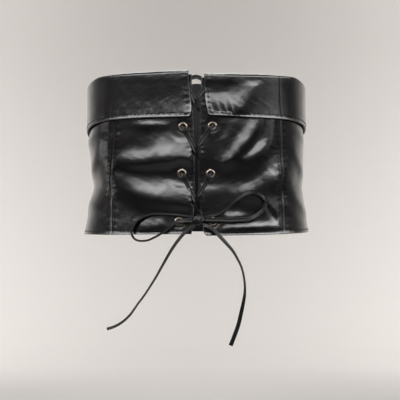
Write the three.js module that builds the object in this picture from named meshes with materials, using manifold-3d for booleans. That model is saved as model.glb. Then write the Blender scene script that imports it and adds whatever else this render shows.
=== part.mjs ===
// A wide laced waist belt of black leather-look fabric, in millimetres, +Z up, front facing -Y.
// The origin is on the waist's centre axis at the height of the waist. Left is -X, as seen from the front.
// Two front panels lace together over a gap. A fold-over cuff runs along the top, and the back is elastic.
import * as THREE from 'three';
import { mergeVertices } from 'three/addons/utils/BufferGeometryUtils.js';
import Module from 'manifold-3d';

const wasm = await Module();
wasm.setup();

// Walls and clearances
const PANEL_WALL = 1.8;
const ELASTIC_WALL = 1.6;
const CUFF_WALL = 1.8;
const CUFF_HEM_WALL = 2.6;
const CLEARANCE = 0.3;

// Plan: a rounded rectangle between an ellipse (2) and a box, and the turn at which leather meets elastic
const SQUARENESS = 2.3;
const ELASTIC_TURN = 105;

// Half widths to the left and right and half depths to the front and back of the wall's middle, by height
const BODY = [
  { z: -62, left: 141.8, right: 142.0, front: 99.0, back: 95.0 },
  { z: -50, left: 139.3, right: 139.4, front: 98.0, back: 93.4 },
  { z: -39, left: 136.8, right: 137.4, front: 97.2, back: 91.6 },
  { z: -26, left: 134.7, right: 135.2, front: 96.4, back: 89.4 },
  { z: -13, left: 131.8, right: 133.5, front: 95.8, back: 87.8 },
  { z: 0, left: 129.0, right: 132.2, front: 95.5, back: 87.0 },
  { z: 13, left: 130.8, right: 132.7, front: 95.7, back: 87.4 },
  { z: 28, left: 132.8, right: 133.7, front: 96.2, back: 88.4 },
  { z: 42, left: 134.3, right: 133.8, front: 96.6, back: 89.4 },
  { z: 56, left: 135.6, right: 133.9, front: 97.0, back: 90.4 },
  { z: 68, left: 134.6, right: 133.8, front: 97.2, back: 91.2 },
  { z: 140, left: 134.3, right: 133.8, front: 97.0, back: 94.0 },
];

// Heights round the belt, by turn in degrees from the front: the cuff's fold, its lower edge, the belt's hem
const TOP_LINE = [
  { turn: 0, left: 140.0, right: 136.0 },
  { turn: 25, left: 137.6, right: 135.2 },
  { turn: 45, left: 136.0, right: 135.0 },
  { turn: 56, left: 134.6, right: 134.6 },
  { turn: 70, left: 129.0, right: 129.2 },
  { turn: 85, left: 122.6, right: 122.8 },
  { turn: 105, left: 118.6, right: 119.0 },
  { turn: 140, left: 126.4, right: 126.6 },
  { turn: 180, left: 136.0, right: 136.0 },
];
const CUFF_LINE = [
  { turn: 0, left: 83.8, right: 86.8 },
  { turn: 25, left: 83.0, right: 84.2 },
  { turn: 45, left: 81.8, right: 83.0 },
  { turn: 56, left: 79.6, right: 81.4 },
  { turn: 70, left: 74.2, right: 77.0 },
  { turn: 85, left: 67.8, right: 70.8 },
  { turn: 105, left: 60.2, right: 63.6 },
  { turn: 140, left: 50.0, right: 52.0 },
  { turn: 180, left: 46.0, right: 46.0 },
];
const HEM_LINE = [
  { turn: 0, left: -59.4, right: -61.4 },
  { turn: 25, left: -59.8, right: -60.8 },
  { turn: 45, left: -60.4, right: -60.0 },
  { turn: 56, left: -60.8, right: -59.4 },
  { turn: 70, left: -61.0, right: -58.8 },
  { turn: 85, left: -61.2, right: -58.2 },
  { turn: 105, left: -60.6, right: -58.6 },
  { turn: 140, left: -60.0, right: -59.4 },
  { turn: 180, left: -59.7, right: -59.7 },
];

// How far the cuff's wall stands out from the panel's, wall middle to wall middle, at its fold and at its hem
const STAND = [
  { turn: 0, fold: 5.2, hem: 6.4 },
  { turn: 20, fold: 4.8, hem: 6.0 },
  { turn: 45, fold: 3.8, hem: 5.0 },
  { turn: 70, fold: 3.3, hem: 3.7 },
  { turn: 85, fold: 3.2, hem: 3.1 },
  { turn: 180, fold: 3.2, hem: 3.1 },
];
const CUFF_FOOT = 1.0;
const CUFF_HEM_HEIGHT = 5.0;

// Distances of the front panels' free edges from the middle of the lacing gap, by height
const PANEL_EDGE = [
  { z: -61.4, left: 6.2, right: 12.2 },
  { z: -59.2, left: 5.7, right: 9.8 },
  { z: -56.5, left: 5.5, right: 8.8 },
  { z: -48, left: 4.8, right: 7.4 },
  { z: -36, left: 3.4, right: 4.8 },
  { z: -20, left: 2.6, right: 3.4 },
  { z: -6, left: 2.1, right: 2.3 },
  { z: 40, left: 2.3, right: 2.2 },
  { z: 50, left: 2.6, right: 2.6 },
  { z: 66, left: 3.5, right: 3.7 },
  { z: 86, left: 4.4, right: 4.5 },
  { z: 110, left: 5.4, right: 5.3 },
  { z: 140, left: 5.9, right: 5.6 },
];

// The same for the cuff's free edges
const CUFF_EDGE = [
  { z: 83.8, left: 8.6, right: 17.2 },
  { z: 86.6, left: 6.1, right: 13.2 },
  { z: 92, left: 6.0, right: 12.0 },
  { z: 108, left: 7.6, right: 10.0 },
  { z: 124, left: 8.8, right: 9.2 },
  { z: 140, left: 9.6, right: 8.8 },
];

// Distances of the seams between front and side panels from the middle of the gap, by height
const SEAM = [
  { z: -60, left: 104.0, right: 106.2 },
  { z: 0, left: 104.2, right: 103.6 },
  { z: 75, left: 101.6, right: 101.6 },
  { z: 110, left: 101.4, right: 99.0 },
  { z: 140, left: 101.2, right: 98.6 },
];

// Soft folds in the leather: a crest line of x, z points, how far it stands out and how wide it spreads
const PANEL_FOLDS = [
  { crest: [[-100, 26.7], [-56, 27.9], [-8, 30.3]], height: 2.0, spread: 11 },
  { crest: [[-101, 9.7], [-74, -9.7], [-14, -21.8]], height: 1.7, spread: 9 },
  { crest: [[91, 68], [81, 45], [59, 30], [31, 24]], height: 2.0, spread: 10 },
  { crest: [[97, 24], [87, 2], [56, -17], [20, -16]], height: 1.6, spread: 9 },
];
const CUFF_FOLDS = [
  { crest: [[-96, 112], [-60, 100], [-12, 93]], height: 1.2, spread: 9 },
  { crest: [[14, 118], [34, 106], [52, 92]], height: 1.4, spread: 10 },
  { crest: [[60, 122], [96, 104]], height: 1.0, spread: 10 },
];
// On the side panels the first number is the turn in degrees
const SIDE_FOLDS = [
  { crest: [[-60, 42], [-72, 24], [-86, 12]], height: 1.4, spread: 8 },
  { crest: [[-58, -28], [-74, -22], [-92, -30]], height: 1.3, spread: 9 },
  { crest: [[60, 40], [74, 18], [92, 8]], height: 1.3, spread: 9 },
  { crest: [[56, -10], [72, -28], [90, -34]], height: 1.2, spread: 8 },
];
const MM_PER_DEGREE = 2.1;
const FOLDS_END_HEIGHT = 76;
const SIDE_FOLDS_END_HEIGHT = 56;
const FOLDS_FADE = 10;
const CUFF_FOLDS_FADE = 12;

// Eyelets, one row for each pair from the top, and their section: radius and distance out from the wall
const EYELETS = [
  { leftX: -16.4, leftZ: 128.0, rightX: 16.8, rightZ: 125.0 },
  { leftX: -16.5, leftZ: 70.8, rightX: 19.1, rightZ: 71.7 },
  { leftX: -17.8, leftZ: 14.2, rightX: 17.0, rightZ: 13.8 },
  { leftX: -21.1, leftZ: -44.2, rightX: 19.8, rightZ: -44.2 },
];
const EYELET_SECTION = [
  { radius: 3.0, out: 1.4 },
  { radius: 3.5, out: 2.0 },
  { radius: 4.7, out: 2.1 },
  { radius: 5.75, out: 1.25 },
  { radius: 3.5, out: 1.2 },
  { radius: 3.5, out: -1.2 },
  { radius: 5.2, out: -1.25 },
  { radius: 4.2, out: -1.8 },
  { radius: 3.0, out: -1.5 },
];
const EYELET_SIDES = 12;
const EYELET_BORE = 3.8;
const FLAT_RADIUS = 8;
const FLAT_FADE = 20;

// The lace: a folded flat strip, drawn together where it goes through an eyelet
const LACE_WIDTH = 5.2;
const LACE_BUNCHED = 3.8;
const LACE_THICK = 1.3;

// Heights of the bar across the top of the gap, and of the crossings below it from the top
const TOP_BAR = { z: 131.6, out: -2.4 };
const CROSSINGS = [104, 45.5, -15];

// A strand's way through an eyelet: distance along its heading, distance out from the wall, and width
const THROUGH_EYELET = [
  { along: -9.5, out: -1.95, width: LACE_WIDTH },
  { along: -5.8, out: -2.9, width: LACE_WIDTH },
  { along: -3.0, out: -3.0, width: 4.6 },
  { along: -1.2, out: -2.5, width: LACE_BUNCHED },
  { along: -0.3, out: -1.4, width: LACE_BUNCHED },
  { along: 0.0, out: 0.1, width: LACE_BUNCHED },
  { along: 0.3, out: 1.6, width: LACE_BUNCHED },
  { along: 1.2, out: 2.8, width: LACE_BUNCHED },
  { along: 3.0, out: 3.3, width: 4.6 },
  { along: 5.9, out: 3.2, width: LACE_WIDTH },
  { along: 9.5, out: 2.1, width: LACE_WIDTH },
];

// A strand's way through the gap. x counts from the side that it comes from, and lift from the crossing
const UNDER_STRAND = [
  { x: -6.0, lift: 8.0, out: 1.95, roll: 0 },
  { x: -3.2, lift: 4.2, out: 2.1, roll: 15 },
  { x: -1.2, lift: 2.0, out: 1.8, roll: 50 },
  { x: 0.0, lift: 0.0, out: 0.0, roll: 62 },
  { x: 1.2, lift: -2.0, out: -1.8, roll: 50 },
  { x: 3.0, lift: -4.2, out: -2.8, roll: 26 },
  { x: 6.0, lift: -8.0, out: -1.95, roll: 0 },
];
const OVER_STRAND = [
  { x: -7.5, lift: 8.0, out: 2.0, roll: 0 },
  { x: -4.6, lift: 3.0, out: 2.6, roll: 0 },
  { x: -2.8, lift: -1.5, out: 2.9, roll: 10 },
  { x: -1.4, lift: -5.0, out: 2.0, roll: 45 },
  { x: 0.0, lift: -8.0, out: 0.0, roll: 62 },
  { x: 1.2, lift: -10.5, out: -1.8, roll: 50 },
  { x: 3.2, lift: -13.5, out: -2.8, roll: 26 },
  { x: 6.5, lift: -17.5, out: -1.95, roll: 0 },
];

// The bow's knot: its middle, its half sizes and the lumps that its turns make
const KNOT = { x: 2.4, z: -42.2, out: 5.4, halfWidth: 7.7, halfHeight: 5.8, halfDepth: 3.9 };
const KNOT_LUMP = 0.09;

// The strands from the lowest eyelets to the knot, after the eyelet: distance along, and out from the wall
const TO_KNOT_LEFT = [
  { along: 3.0, out: 3.3, width: 4.6 },
  { along: 6.5, out: 3.3, width: LACE_WIDTH },
  { along: 11.0, out: 3.5, width: LACE_WIDTH },
  { along: 15.6, out: 4.6, width: 4.6 },
];
const TO_KNOT_RIGHT = [
  { along: 3.0, out: 3.5, width: 4.6 },
  { along: 6.0, out: 4.1, width: LACE_WIDTH },
  { along: 9.3, out: 4.7, width: 4.6 },
];

// The bow's loops: place, distance out from the wall, and roll, where 0 shows the strip's face
const LOOP_LEFT = [
  { x: -5.0, z: -38.4, out: 6.4, roll: 72 },
  { x: -14.5, z: -37.0, out: 5.6, roll: 74 },
  { x: -24.8, z: -35.6, out: 5.0, roll: 74 },
  { x: -44.2, z: -34.6, out: 4.6, roll: 76 },
  { x: -54.0, z: -35.4, out: 4.6, roll: 76 },
  { x: -63.6, z: -38.8, out: 4.8, roll: 76 },
  { x: -71.4, z: -44.4, out: 5.2, roll: 74 },
  { x: -76.6, z: -52.7, out: 5.8, roll: 70 },
  { x: -76.8, z: -58.8, out: 6.2, roll: 66 },
  { x: -73.3, z: -65.1, out: 6.4, roll: 62 },
  { x: -68.0, z: -67.4, out: 6.4, roll: 60 },
  { x: -58.4, z: -67.0, out: 6.2, roll: 58 },
  { x: -50.7, z: -63.8, out: 6.0, roll: 56 },
  { x: -41.7, z: -58.5, out: 6.2, roll: 54 },
  { x: -31.3, z: -50.2, out: 7.2, roll: 46 },
  { x: -24.8, z: -45.6, out: 8.0, roll: 30 },
  { x: -17.0, z: -43.2, out: 8.2, roll: 12 },
  { x: -10.5, z: -42.8, out: 8.0, roll: 8 },
  { x: -5.0, z: -42.6, out: 7.6, roll: 8 },
];
const LOOP_RIGHT = [
  { x: 9.6, z: -38.6, out: 6.2, roll: 66 },
  { x: 16.5, z: -36.8, out: 7.0, roll: 64 },
  { x: 24.0, z: -35.4, out: 7.0, roll: 62 },
  { x: 34.4, z: -28.5, out: 6.0, roll: 60 },
  { x: 43.4, z: -20.4, out: 5.2, roll: 56 },
  { x: 56.4, z: -11.8, out: 4.8, roll: 52 },
  { x: 66.0, z: -8.8, out: 5.0, roll: 50 },
  { x: 74.4, z: -11.0, out: 5.6, roll: 50 },
  { x: 80.0, z: -16.4, out: 6.2, roll: 50 },
  { x: 81.4, z: -22.0, out: 6.6, roll: 48 },
  { x: 78.6, z: -29.2, out: 6.6, roll: 42 },
  { x: 72.2, z: -35.6, out: 6.0, roll: 30 },
  { x: 63.0, z: -40.6, out: 5.2, roll: 12 },
  { x: 50.0, z: -41.8, out: 4.6, roll: 4 },
  { x: 37.0, z: -42.2, out: 5.0, roll: 4 },
  { x: 27.0, z: -41.8, out: 6.2, roll: 6 },
  { x: 19.0, z: -41.6, out: 7.2, roll: 8 },
  { x: 10.0, z: -41.4, out: 7.6, roll: 8 },
];
// The tails hang free below the hem, so their places are points
const TAIL_LEFT = [
  { x: -2.2, y: -106.0, z: -48.9, roll: 40 },
  { x: -6.6, y: -106.2, z: -51.5, roll: 38 },
  { x: -13.0, y: -106.0, z: -56.2, roll: 40 },
  { x: -20.5, y: -105.6, z: -64.5, roll: 44 },
  { x: -29.5, y: -105.0, z: -77.0, roll: 50 },
  { x: -36.6, y: -104.6, z: -89.0, roll: 56 },
  { x: -43.0, y: -104.2, z: -100.5, roll: 62 },
  { x: -48.0, y: -104.0, z: -109.5, roll: 66 },
  { x: -53.6, y: -103.8, z: -118.6, roll: 68 },
  { x: -58.8, y: -103.6, z: -126.8, roll: 70 },
  { x: -64.5, y: -103.6, z: -135.2, roll: 70 },
  { x: -69.9, y: -103.6, z: -142.2, roll: 70 },
  { x: -75.0, y: -103.8, z: -149.6, roll: 68 },
  { x: -80.5, y: -104.0, z: -157.0, roll: 66 },
  { x: -89.8, y: -104.4, z: -165.6, roll: 62 },
  { x: -99.6, y: -104.8, z: -171.1, roll: 58 },
  { x: -108.4, y: -105.2, z: -173.9, roll: 54 },
];
const TAIL_RIGHT = [
  { x: 7.6, y: -105.0, z: -48.2, roll: 30 },
  { x: 13.2, y: -105.8, z: -49.6, roll: 26 },
  { x: 20.6, y: -106.2, z: -54.0, roll: 26 },
  { x: 29.0, y: -105.8, z: -62.8, roll: 32 },
  { x: 36.0, y: -105.2, z: -70.4, roll: 42 },
  { x: 44.2, y: -104.6, z: -80.0, roll: 54 },
  { x: 49.4, y: -104.2, z: -89.0, roll: 62 },
  { x: 54.0, y: -104.0, z: -98.4, roll: 66 },
  { x: 56.9, y: -103.8, z: -109.2, roll: 68 },
  { x: 58.4, y: -103.8, z: -121.0, roll: 64 },
  { x: 58.2, y: -103.8, z: -132.0, roll: 52 },
  { x: 56.6, y: -104.0, z: -142.0, roll: 36 },
  { x: 53.8, y: -104.2, z: -155.0, roll: 22 },
  { x: 50.6, y: -104.4, z: -168.6, roll: 14 },
  { x: 46.4, y: -104.6, z: -180.6, roll: 10 },
  { x: 41.2, y: -104.8, z: -194.0, roll: 8 },
];

// Leather colours are near black, the eyelets are antique brass
const LEATHER = { color: 0x131214, roughness: 0.34, metalness: 0 };
const ELASTIC = { color: 0x0e0e10, roughness: 0.9, metalness: 0 };
const LACE = { color: 0x17161a, roughness: 0.42, metalness: 0 };
const BRASS = { color: 0x8a7350, roughness: 0.38, metalness: 1 };

const radians = THREE.MathUtils.degToRad;
const degrees = THREE.MathUtils.radToDeg;
const mix = THREE.MathUtils.lerp;
const ease = THREE.MathUtils.smoothstep;

/** Reads a column of a table at a value of its first column: a smooth cubic, level past the ends. */
function readTable(rows, key, column, at) {
  const last = rows.length - 1;
  if (at <= rows[0][key]) return rows[0][column];
  if (at >= rows[last][key]) return rows[last][column];
  let index = 0;
  while (rows[index + 1][key] < at) index += 1;
  const slope = (i, j) => (rows[j][column] - rows[i][column]) / (rows[j][key] - rows[i][key]);
  const span = rows[index + 1][key] - rows[index][key];
  const here = slope(index, index + 1);
  const tangentAt = (i) => {
    if (i === 0 || i === last) return here;
    const before = slope(i - 1, i);
    const after = slope(i, i + 1);
    return before * after > 0 ? (2 * before * after) / (before + after) : 0;
  };
  const t = (at - rows[index][key]) / span;
  const straight = mix(rows[index][column], rows[index + 1][column], t * t * (3 - 2 * t));
  const bend = t * (1 - t) ** 2 * tangentAt(index) - t * t * (1 - t) * tangentAt(index + 1);
  return straight + bend * span;
}

// Name of the column for the side that a turn or a distance x lies on
const sideOf = (signed) => (signed < 0 ? 'left' : 'right');

/** Height of one of the lines round the belt at a signed turn in radians. */
function lineHeight(line, turn) {
  return readTable(line, 'turn', sideOf(Math.sin(turn)), Math.abs(degrees(turn)));
}

function standOff(name, turn) {
  return readTable(STAND, 'turn', name, Math.abs(degrees(turn)));
}

/** A point out from the wall's middle surface, at a signed turn from the front and a height. */
function wallPoint(turn, z, out) {
  const sine = Math.sin(turn);
  const cosine = Math.cos(turn);
  const reach = (Math.abs(sine) ** SQUARENESS + Math.abs(cosine) ** SQUARENESS) ** (-1 / SQUARENESS);
  const halfWidth = readTable(BODY, 'z', sideOf(sine), z);
  const halfDepth = readTable(BODY, 'z', cosine > 0 ? 'front' : 'back', z);
  const across = (Math.sign(sine) * Math.abs(reach * sine) ** (SQUARENESS - 1)) / halfWidth;
  const deep = (-Math.sign(cosine) * Math.abs(reach * cosine) ** (SQUARENESS - 1)) / halfDepth;
  const normal = new THREE.Vector2(across, deep).normalize();
  return new THREE.Vector3(
    halfWidth * reach * sine + out * normal.x,
    -halfDepth * reach * cosine + out * normal.y,
    z,
  );
}

/** The turn at which the wall's middle is x to the right of the gap's middle. */
function turnAt(x, z) {
  const share = Math.abs(x) / readTable(BODY, 'z', sideOf(x), z);
  return Math.sign(x) * Math.atan2(share, (1 - share ** SQUARENESS) ** (1 / SQUARENESS));
}

const frontPoint = (x, z, out) => wallPoint(turnAt(x, z), z, out);

/** Sum of the folds at a point: each is a bell-shaped ridge along its crest line. */
function foldHeight(folds, u, v) {
  let total = 0;
  for (const { crest, height, spread } of folds) {
    let nearest = Infinity;
    for (let i = 0; i + 1 < crest.length; i += 1) {
      const [startU, startV] = crest[i];
      const alongU = crest[i + 1][0] - startU;
      const alongV = crest[i + 1][1] - startV;
      const share = ((u - startU) * alongU + (v - startV) * alongV) / (alongU ** 2 + alongV ** 2);
      const held = THREE.MathUtils.clamp(share, 0, 1);
      nearest = Math.min(nearest, Math.hypot(u - startU - held * alongU, v - startV - held * alongV));
    }
    total += height * Math.exp(-((nearest / spread) ** 2));
  }
  return total;
}

/** How much of the folds is left at a point of a front panel: none under an eyelet or under the cuff. */
function foldShare(x, z) {
  let nearest = Infinity;
  for (const { leftX, leftZ, rightX, rightZ } of EYELETS) {
    nearest = Math.min(nearest, Math.hypot(x - leftX, z - leftZ), Math.hypot(x - rightX, z - rightZ));
  }
  const edge = readTable(PANEL_EDGE, 'z', sideOf(x), z);
  const clearOfGap = ease(Math.abs(x), edge, edge + FLAT_RADIUS);
  const clearOfCuff = 1 - ease(z, FOLDS_END_HEIGHT - FOLDS_FADE, FOLDS_END_HEIGHT);
  return ease(nearest, FLAT_RADIUS, FLAT_FADE) * clearOfGap * clearOfCuff;
}

// Height of the cuff fold's centre, about which the cuff turns over, and of the panel's top edge below it
const foldCentre = (turn) => lineHeight(TOP_LINE, turn) - CUFF_WALL / 2 - standOff('fold', turn) / 2;
const panelTop = (turn) => foldCentre(turn) - CUFF_FOOT - CLEARANCE;

/** A closed solid from a list of points and triangles. */
function solid(points, triangles) {
  const geometry = new THREE.BufferGeometry().setFromPoints(points);
  geometry.setIndex(triangles);
  return geometry;
}

/** A curved sheet with thickness. pointAt(u, v, out) gives its faces: from outside u runs right, v up. */
function sheetSolid(columns, rows, wall, pointAt, rowShare = (v) => v) {
  const points = [];
  for (const out of [wall / 2, -wall / 2]) {
    for (let j = 0; j <= rows; j += 1) {
      for (let i = 0; i <= columns; i += 1) points.push(pointAt(i / columns, rowShare(j / rows), out));
    }
  }
  const inner = (columns + 1) * (rows + 1);
  const at = (i, j) => j * (columns + 1) + i;
  const triangles = [];
  const quad = (a, b, c, d) => triangles.push(a, b, c, a, c, d);
  for (let j = 0; j < rows; j += 1) {
    for (let i = 0; i < columns; i += 1) {
      quad(at(i, j), at(i + 1, j), at(i + 1, j + 1), at(i, j + 1));
      quad(inner + at(i, j), inner + at(i, j + 1), inner + at(i + 1, j + 1), inner + at(i + 1, j));
    }
  }
  for (let i = 0; i < columns; i += 1) {
    quad(at(i, 0), inner + at(i, 0), inner + at(i + 1, 0), at(i + 1, 0));
    quad(at(i, rows), at(i + 1, rows), inner + at(i + 1, rows), inner + at(i, rows));
  }
  for (let j = 0; j < rows; j += 1) {
    quad(at(0, j), at(0, j + 1), inner + at(0, j + 1), inner + at(0, j));
    quad(at(columns, j), inner + at(columns, j), inner + at(columns, j + 1), at(columns, j + 1));
  }
  return solid(points, triangles);
}

/** A solid from closed rings of points, each anticlockwise seen from the last ring, with flat ends. */
function ringSolid(rings, capOutline) {
  const count = rings[0].length;
  const triangles = [];
  for (let ring = 0; ring + 1 < rings.length; ring += 1) {
    for (let i = 0; i < count; i += 1) {
      const next = (i + 1) % count;
      const a = ring * count + i;
      const b = ring * count + next;
      triangles.push(a, b, b + count, a, b + count, a + count);
    }
  }
  const end = (rings.length - 1) * count;
  const mirrored = THREE.ShapeUtils.isClockWise(capOutline);
  for (const [a, b, c] of THREE.ShapeUtils.triangulateShape(capOutline, [])) {
    const [second, third] = mirrored ? [b, c] : [c, b];
    triangles.push(a, second, third, end + a, end + third, end + second);
  }
  return solid(rings.flat(), triangles);
}

const toManifold = (geometry) => {
  const merged = mergeVertices(geometry);
  return new wasm.Manifold(new wasm.Mesh({
    numProp: 3,
    vertProperties: new Float32Array(merged.attributes.position.array),
    triVerts: new Uint32Array(merged.index.array),
  }));
};

const fromManifold = (manifold) => {
  const mesh = manifold.getMesh();
  const geometry = new THREE.BufferGeometry();
  geometry.setAttribute('position', new THREE.BufferAttribute(new Float32Array(mesh.vertProperties), 3));
  geometry.setIndex(new THREE.BufferAttribute(new Uint32Array(mesh.triVerts), 1));
  return geometry;
};

const group = new THREE.Group();

function addMesh(name, geometry, finish) {
  const mesh = new THREE.Mesh(geometry, new THREE.MeshStandardMaterial(finish));
  mesh.name = name;
  group.add(mesh);
  return mesh;
}

// Eyelets: a rolled ring in front, a washer behind and a barrel between them, square to the wall
const eyeletPlaces = EYELETS.flatMap(({ leftX, leftZ, rightX, rightZ }, index) => [
  { name: `eyelet_left_${index + 1}`, x: leftX, z: leftZ },
  { name: `eyelet_right_${index + 1}`, x: rightX, z: rightZ },
]);

/** The way out of the wall at a point, square to both of its directions. */
function wallNormal(x, z) {
  const step = 1;
  const along = frontPoint(x + step, z, 0).sub(frontPoint(x - step, z, 0));
  const up = frontPoint(x, z + step, 0).sub(frontPoint(x, z - step, 0));
  return along.cross(up).normalize();
}

function placeOnWall(object, x, z) {
  object.position.copy(frontPoint(x, z, 0));
  object.quaternion.setFromUnitVectors(new THREE.Vector3(0, 1, 0), wallNormal(x, z));
}

function eyeletGeometry() {
  const outline = EYELET_SECTION.map(({ radius, out }) => new THREE.Vector2(radius, out)).reverse();
  outline.push(outline[0].clone());
  return new THREE.LatheGeometry(outline, EYELET_SIDES);
}

for (const { name, x, z } of eyeletPlaces) placeOnWall(addMesh(name, eyeletGeometry(), BRASS), x, z);

// Front and side panels share their rows: most lie below the cuff, and the last few lie under it
const PANEL_ROWS = 16;
const ROWS_UNDER_CUFF = 3;
const HEIGHT_BELOW_CUFF = 0.7;

/** The share of the panel's height at a share v of its rows. */
function panelRowShare(v) {
  const split = 1 - ROWS_UNDER_CUFF / PANEL_ROWS;
  return v < split ? (v / split) * HEIGHT_BELOW_CUFF : mix(HEIGHT_BELOW_CUFF, 1, (v - split) / (1 - split));
}

/** The turn of the seam at waist height, up to which a front panel's columns are shared out. */
const seamTurnAtWaist = (side) => turnAt(side * readTable(SEAM, 'z', sideOf(side), 0), 0);
const columnHeight = (turn, v) => mix(lineHeight(HEM_LINE, turn), panelTop(turn), v);

// Front panels: from the gap's edge to the seam, with eyelet holes
const FRONT_COLUMNS = 16;

function frontPanelPoint(side, u, v, out) {
  const z = columnHeight(mix(side * radians(1), seamTurnAtWaist(side), u), v);
  const edgeX = readTable(PANEL_EDGE, 'z', sideOf(side), z);
  const x = side * mix(edgeX, readTable(SEAM, 'z', sideOf(side), z) - CLEARANCE / 2, u);
  return frontPoint(x, z, out + foldHeight(PANEL_FOLDS, x, z) * foldShare(x, z));
}

function eyeletCutter(x, z) {
  const cutter = new THREE.Object3D();
  placeOnWall(cutter, x, z);
  cutter.updateMatrix();
  const geometry = new THREE.CylinderGeometry(EYELET_BORE, EYELET_BORE, 4 * PANEL_WALL, EYELET_SIDES);
  geometry.deleteAttribute('normal');
  geometry.deleteAttribute('uv');
  return toManifold(geometry.applyMatrix4(cutter.matrix));
}

for (const side of [-1, 1]) {
  // Seen from outside, u has to run to the right, so the left panel's u starts at its seam
  const pointAt = (u, v, out) => frontPanelPoint(side, side < 0 ? 1 - u : u, v, out);
  let panel = toManifold(sheetSolid(FRONT_COLUMNS, PANEL_ROWS, PANEL_WALL, pointAt, panelRowShare));
  for (const { x, z } of eyeletPlaces.filter((place) => Math.sign(place.x) === side)) {
    panel = panel.subtract(eyeletCutter(x, z));
  }
  addMesh(`front_panel_${sideOf(side)}`, fromManifold(panel), LEATHER);
}

// Side panels: from the seam round to the elastic
const SIDE_COLUMNS = 10;
const SIDE_FADE = 0.25;
const sideFoldsInMm = SIDE_FOLDS.map((fold) => (
  { ...fold, crest: fold.crest.map(([turn, z]) => [turn * MM_PER_DEGREE, z]) }
));

function sidePanelPoint(side, u, v, out) {
  const z = columnHeight(mix(seamTurnAtWaist(side), side * radians(ELASTIC_TURN), u), v);
  const seamTurn = turnAt(side * (readTable(SEAM, 'z', sideOf(side), z) + CLEARANCE / 2), z);
  const turn = mix(seamTurn, side * radians(ELASTIC_TURN), u);
  const fold = foldHeight(sideFoldsInMm, degrees(turn) * MM_PER_DEGREE, z);
  const clearOfSeams = ease(u, 0, SIDE_FADE) * (1 - ease(u, 1 - SIDE_FADE, 1));
  const clearOfCuff = 1 - ease(z, SIDE_FOLDS_END_HEIGHT - FOLDS_FADE, SIDE_FOLDS_END_HEIGHT);
  return wallPoint(turn, z, out + fold * clearOfSeams * clearOfCuff);
}

for (const side of [-1, 1]) {
  const pointAt = (u, v, out) => sidePanelPoint(side, side < 0 ? 1 - u : u, v, out);
  const panel = sheetSolid(SIDE_COLUMNS, PANEL_ROWS, PANEL_WALL, pointAt, panelRowShare);
  addMesh(`side_panel_${sideOf(side)}`, panel, LEATHER);
}

// Elastic back: one stretch panel from side panel to side panel, its top level with the cuff's fold
const BACK_COLUMNS = 18;
const BACK_ROWS = 8;

function backPoint(u, v, out) {
  const edgeTurn = radians(ELASTIC_TURN) + (2 * CLEARANCE) / readTable(BODY, 'z', 'back', 0);
  const turn = mix(edgeTurn, 2 * Math.PI - edgeTurn, u);
  const signedTurn = turn > Math.PI ? turn - 2 * Math.PI : turn;
  const z = mix(lineHeight(HEM_LINE, signedTurn), lineHeight(TOP_LINE, signedTurn), v);
  return wallPoint(turn, z, out);
}

addMesh('back_elastic', sheetSolid(BACK_COLUMNS, BACK_ROWS, ELASTIC_WALL, backPoint), ELASTIC);

// Cuffs: a J section that stands on the panel's top edge, turns over outwards and hangs down to a thick hem
/** The section at a turn as distance out and height, clockwise where out is drawn to the right. */
function cuffSection(turn) {
  const half = CUFF_WALL / 2;
  const hemHalf = CUFF_HEM_WALL / 2;
  const radius = standOff('fold', turn) / 2;
  const centre = foldCentre(turn);
  const low = lineHeight(CUFF_LINE, turn);
  const hemOut = standOff('hem', turn);
  const hemTop = low + CUFF_HEM_HEIGHT;
  const hemShoulder = low + CUFF_HEM_HEIGHT * 0.7;
  const hemCorner = low + hemHalf * 0.4;
  const cornerOut = hemHalf * 0.8;
  const middle = (centre + hemTop) / 2;
  const middleOut = (2 * radius + hemOut) / 2;
  const arc = (size, degrees) => ({
    out: radius + size * Math.cos(radians(degrees)),
    z: centre + size * Math.sin(radians(degrees)),
  });
  return [
    { out: -half, z: centre - CUFF_FOOT },
    { out: half, z: centre - CUFF_FOOT },
    arc(radius - half, 180),
    arc(radius - half, 90),
    arc(radius - half, 0),
    { out: middleOut - half, z: middle },
    { out: hemOut - half, z: hemTop },
    { out: hemOut - hemHalf, z: hemShoulder },
    { out: hemOut - cornerOut, z: hemCorner },
    { out: hemOut, z: low },
    { out: hemOut + cornerOut, z: hemCorner },
    { out: hemOut + hemHalf, z: hemShoulder },
    { out: hemOut + half, z: hemTop },
    { out: middleOut + half, z: middle },
    arc(radius + half, 0),
    arc(radius + half, 45),
    arc(radius + half, 90),
    arc(radius + half, 135),
    arc(radius + half, 180),
  ].reverse();
}

/** The cuff's folds lift both of its faces, and fade out towards its fold and its hem. */
function cuffLift(x, z, turn) {
  const low = lineHeight(CUFF_LINE, turn) + CUFF_HEM_HEIGHT / 2;
  const high = foldCentre(turn) - CUFF_WALL;
  const share = ease(z, low, low + CUFF_FOLDS_FADE) * (1 - ease(z, high - CUFF_FOLDS_FADE, high));
  return foldHeight(CUFF_FOLDS, x, z) * share;
}

function cuffSolid(side, columns, turnOf) {
  const rings = [];
  for (let i = 0; i <= columns; i += 1) {
    const u = side < 0 ? 1 - i / columns : i / columns;
    const nominalTurn = turnOf(u, (lineHeight(TOP_LINE, 0) + lineHeight(CUFF_LINE, 0)) / 2);
    rings.push(cuffSection(nominalTurn).map(({ out, z }) => {
      const turn = turnOf(u, z);
      const onOuterWall = out > standOff('fold', nominalTurn) / 2;
      const lift = onOuterWall ? cuffLift(wallPoint(turn, z, 0).x, z, nominalTurn) : 0;
      return wallPoint(turn, z, out + lift);
    }));
  }
  const outline = cuffSection(seamTurnAtWaist(side)).map(({ out, z }) => new THREE.Vector2(out, z));
  return ringSolid(rings, outline);
}

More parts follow.
